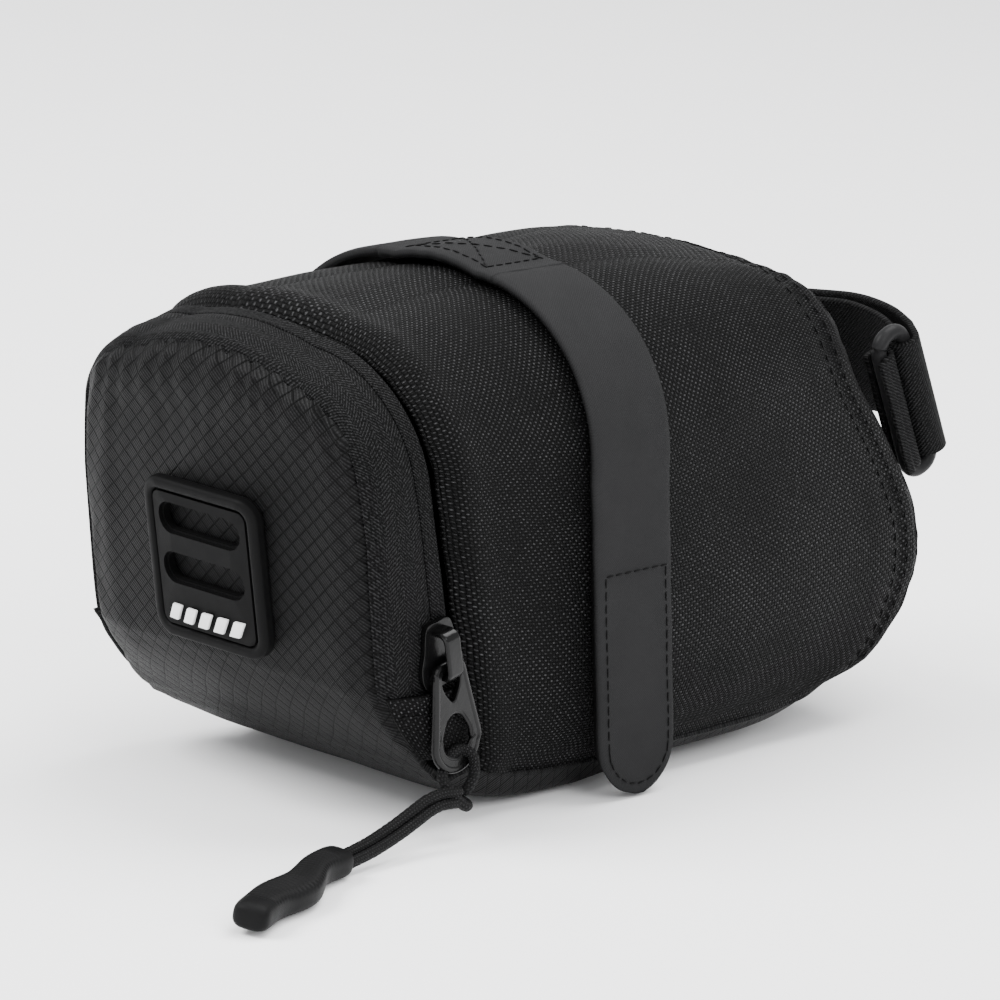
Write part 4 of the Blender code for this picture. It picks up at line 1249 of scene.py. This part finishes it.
print("rail strap made")


# seatpost loop, its ring and the tab that holds it

post = {"width": 25.0, "thick": 1.1, "tilt": math.radians(26), "level": 27.0, "barRadius": 1.5,
        "ringHalf": 15.0}
postUp = Vector((0, -math.sin(post["tilt"]), math.cos(post["tilt"])))
postAhead = Vector((0, math.cos(post["tilt"]), math.sin(post["tilt"])))
tabBar, strapBar = Vector((30.6, 79.3)), Vector((31.0, 85.9))


def fromPost(x, ahead, up):
    return Vector((x, 0, 0)) + postAhead * ahead + postUp * (post["level"] + up)


def arcPoints(centre, radius, first, last, steps):
    turns = [math.radians(mix(first, last, step / steps)) for step in range(steps + 1)]
    return [(centre.x + radius * math.cos(turn), centre.y + radius * math.sin(turn)) for turn in turns]


def bandSurface(route):
    # Webbing that stands on edge along the seatpost, following a flat (x, ahead) route.
    points = np.array(route)
    lengths = np.concatenate([[0.0], np.cumsum(np.hypot(*np.diff(points, axis=0).T))])

    def surface(u, v):
        x, ahead = (float(np.interp(u * lengths[-1], lengths, points[:, k])) for k in (0, 1))
        return tuple(fromPost(x, ahead, mix(-0.5, 0.5, v) * post["width"]))

    return surface


def makeWebbing(name, route, thick, body, node, across=140):
    band = {"surface": bandSurface(route)}
    bm = bmesh.new()
    bmesh.ops.create_grid(bm, x_segments=across, y_segments=30, size=0.5)
    runU, runV = measure(band, 0.5, True), measure(band, 0.5, False)
    layCloth(bm, lambda u, v: (runU(u), runV(v)))
    for vert in bm.verts:
        vert.co = Vector(band["surface"](vert.co.x + 0.5, vert.co.y + 0.5))
    bm.normal_update()
    middle = sum((face.calc_center_median() for face in bm.faces), Vector()) / len(bm.faces)
    if sum(face.normal.dot(face.calc_center_median() - middle) for face in bm.faces) < 0:
        bmesh.ops.reverse_faces(bm, faces=bm.faces)
        bm.normal_update()
    return keep(finishPiece(name, bm, webbingCloth, 50, thick), body, "webbing", node)


wrap = post["barRadius"] + 0.7 + post["thick"]
loopRoute = [(p.x, p.y) for p in smoothRoute(
    [(-33.8, 76.8, 0), (-33.6, 81.0, 0), (-23.0, 86.8, 0), (-8.0, 90.6, 0), (4.0, 93.6, 0), (13.5, 95.2, 0),
     (22.5, 94.0, 0), (29.6, 91.0, 0)], 70)]
loopRoute += arcPoints(strapBar, wrap, 42, -180, 26)
makeWebbing("postStrapWebbing", loopRoute, post["thick"], "root", "post_strap", 190)
tailStart = (strapBar.x - wrap, strapBar.y + 0.7, 0)
tailRoute = [(p.x, p.y) for p in smoothRoute(
    [tailStart, (27.0, 88.6, 0), (21.5, 91.2, 0), (13.0, 92.6, 0), (4.6, 91.2, 0), (-6.0, 88.4, 0)], 50)]
makeWebbing("postStrapTailWebbing", tailRoute, 1.0, "strap_tail", "post_strap_tail", 70)
eyeRadius = post["barRadius"] + 0.3 + 1.0
tabRoute = [(33.6, 76.4), (33.8, 77.8)] + arcPoints(tabBar, eyeRadius, -15, 180, 24) + [(27.8, 78.0)]
makeWebbing("ringTabWebbing", tabRoute, 1.0, "root", "ring_tab", 70)

ringAcross = (strapBar - tabBar).normalized()
ringMiddle = (strapBar + tabBar) / 2
ringRoute = []
for x, up in roundRectangle((strapBar - tabBar).length, 2 * post["ringHalf"], 3.0, 8):
    ringRoute.append(fromPost(*(ringMiddle + ringAcross * x), up))
ringFine = []
for k in range(len(ringRoute)):
    a, b = ringRoute[k], ringRoute[(k + 1) % len(ringRoute)]
    parts = max(1, round((b - a).length / 1.0))
    ringFine += [a.lerp(b, j / parts) for j in range(parts)]
ringPiece = makeTube("strapRingMoulded", ringFine, post["barRadius"], ringFinish, 20, True)
keep(ringPiece, "ring", "ring_plastic", "strap_ring")
print("seatpost loop made")


# floor

floorMesh = bmesh.new()
bmesh.ops.create_grid(floorMesh, x_segments=2, y_segments=2, size=4000)
floorFinish = Finish("floorPaper", (0.95, 0.95, 0.955), 0.9, Specular_IOR_Level=0.1)
floorFinish.colours(floorFinish.speckle(floorFinish.solid(), 0.02), (0.94, 0.94, 0.945), (0.96, 0.96, 0.965))
floorPiece = finishPiece("floor", floorMesh, floorFinish.material)
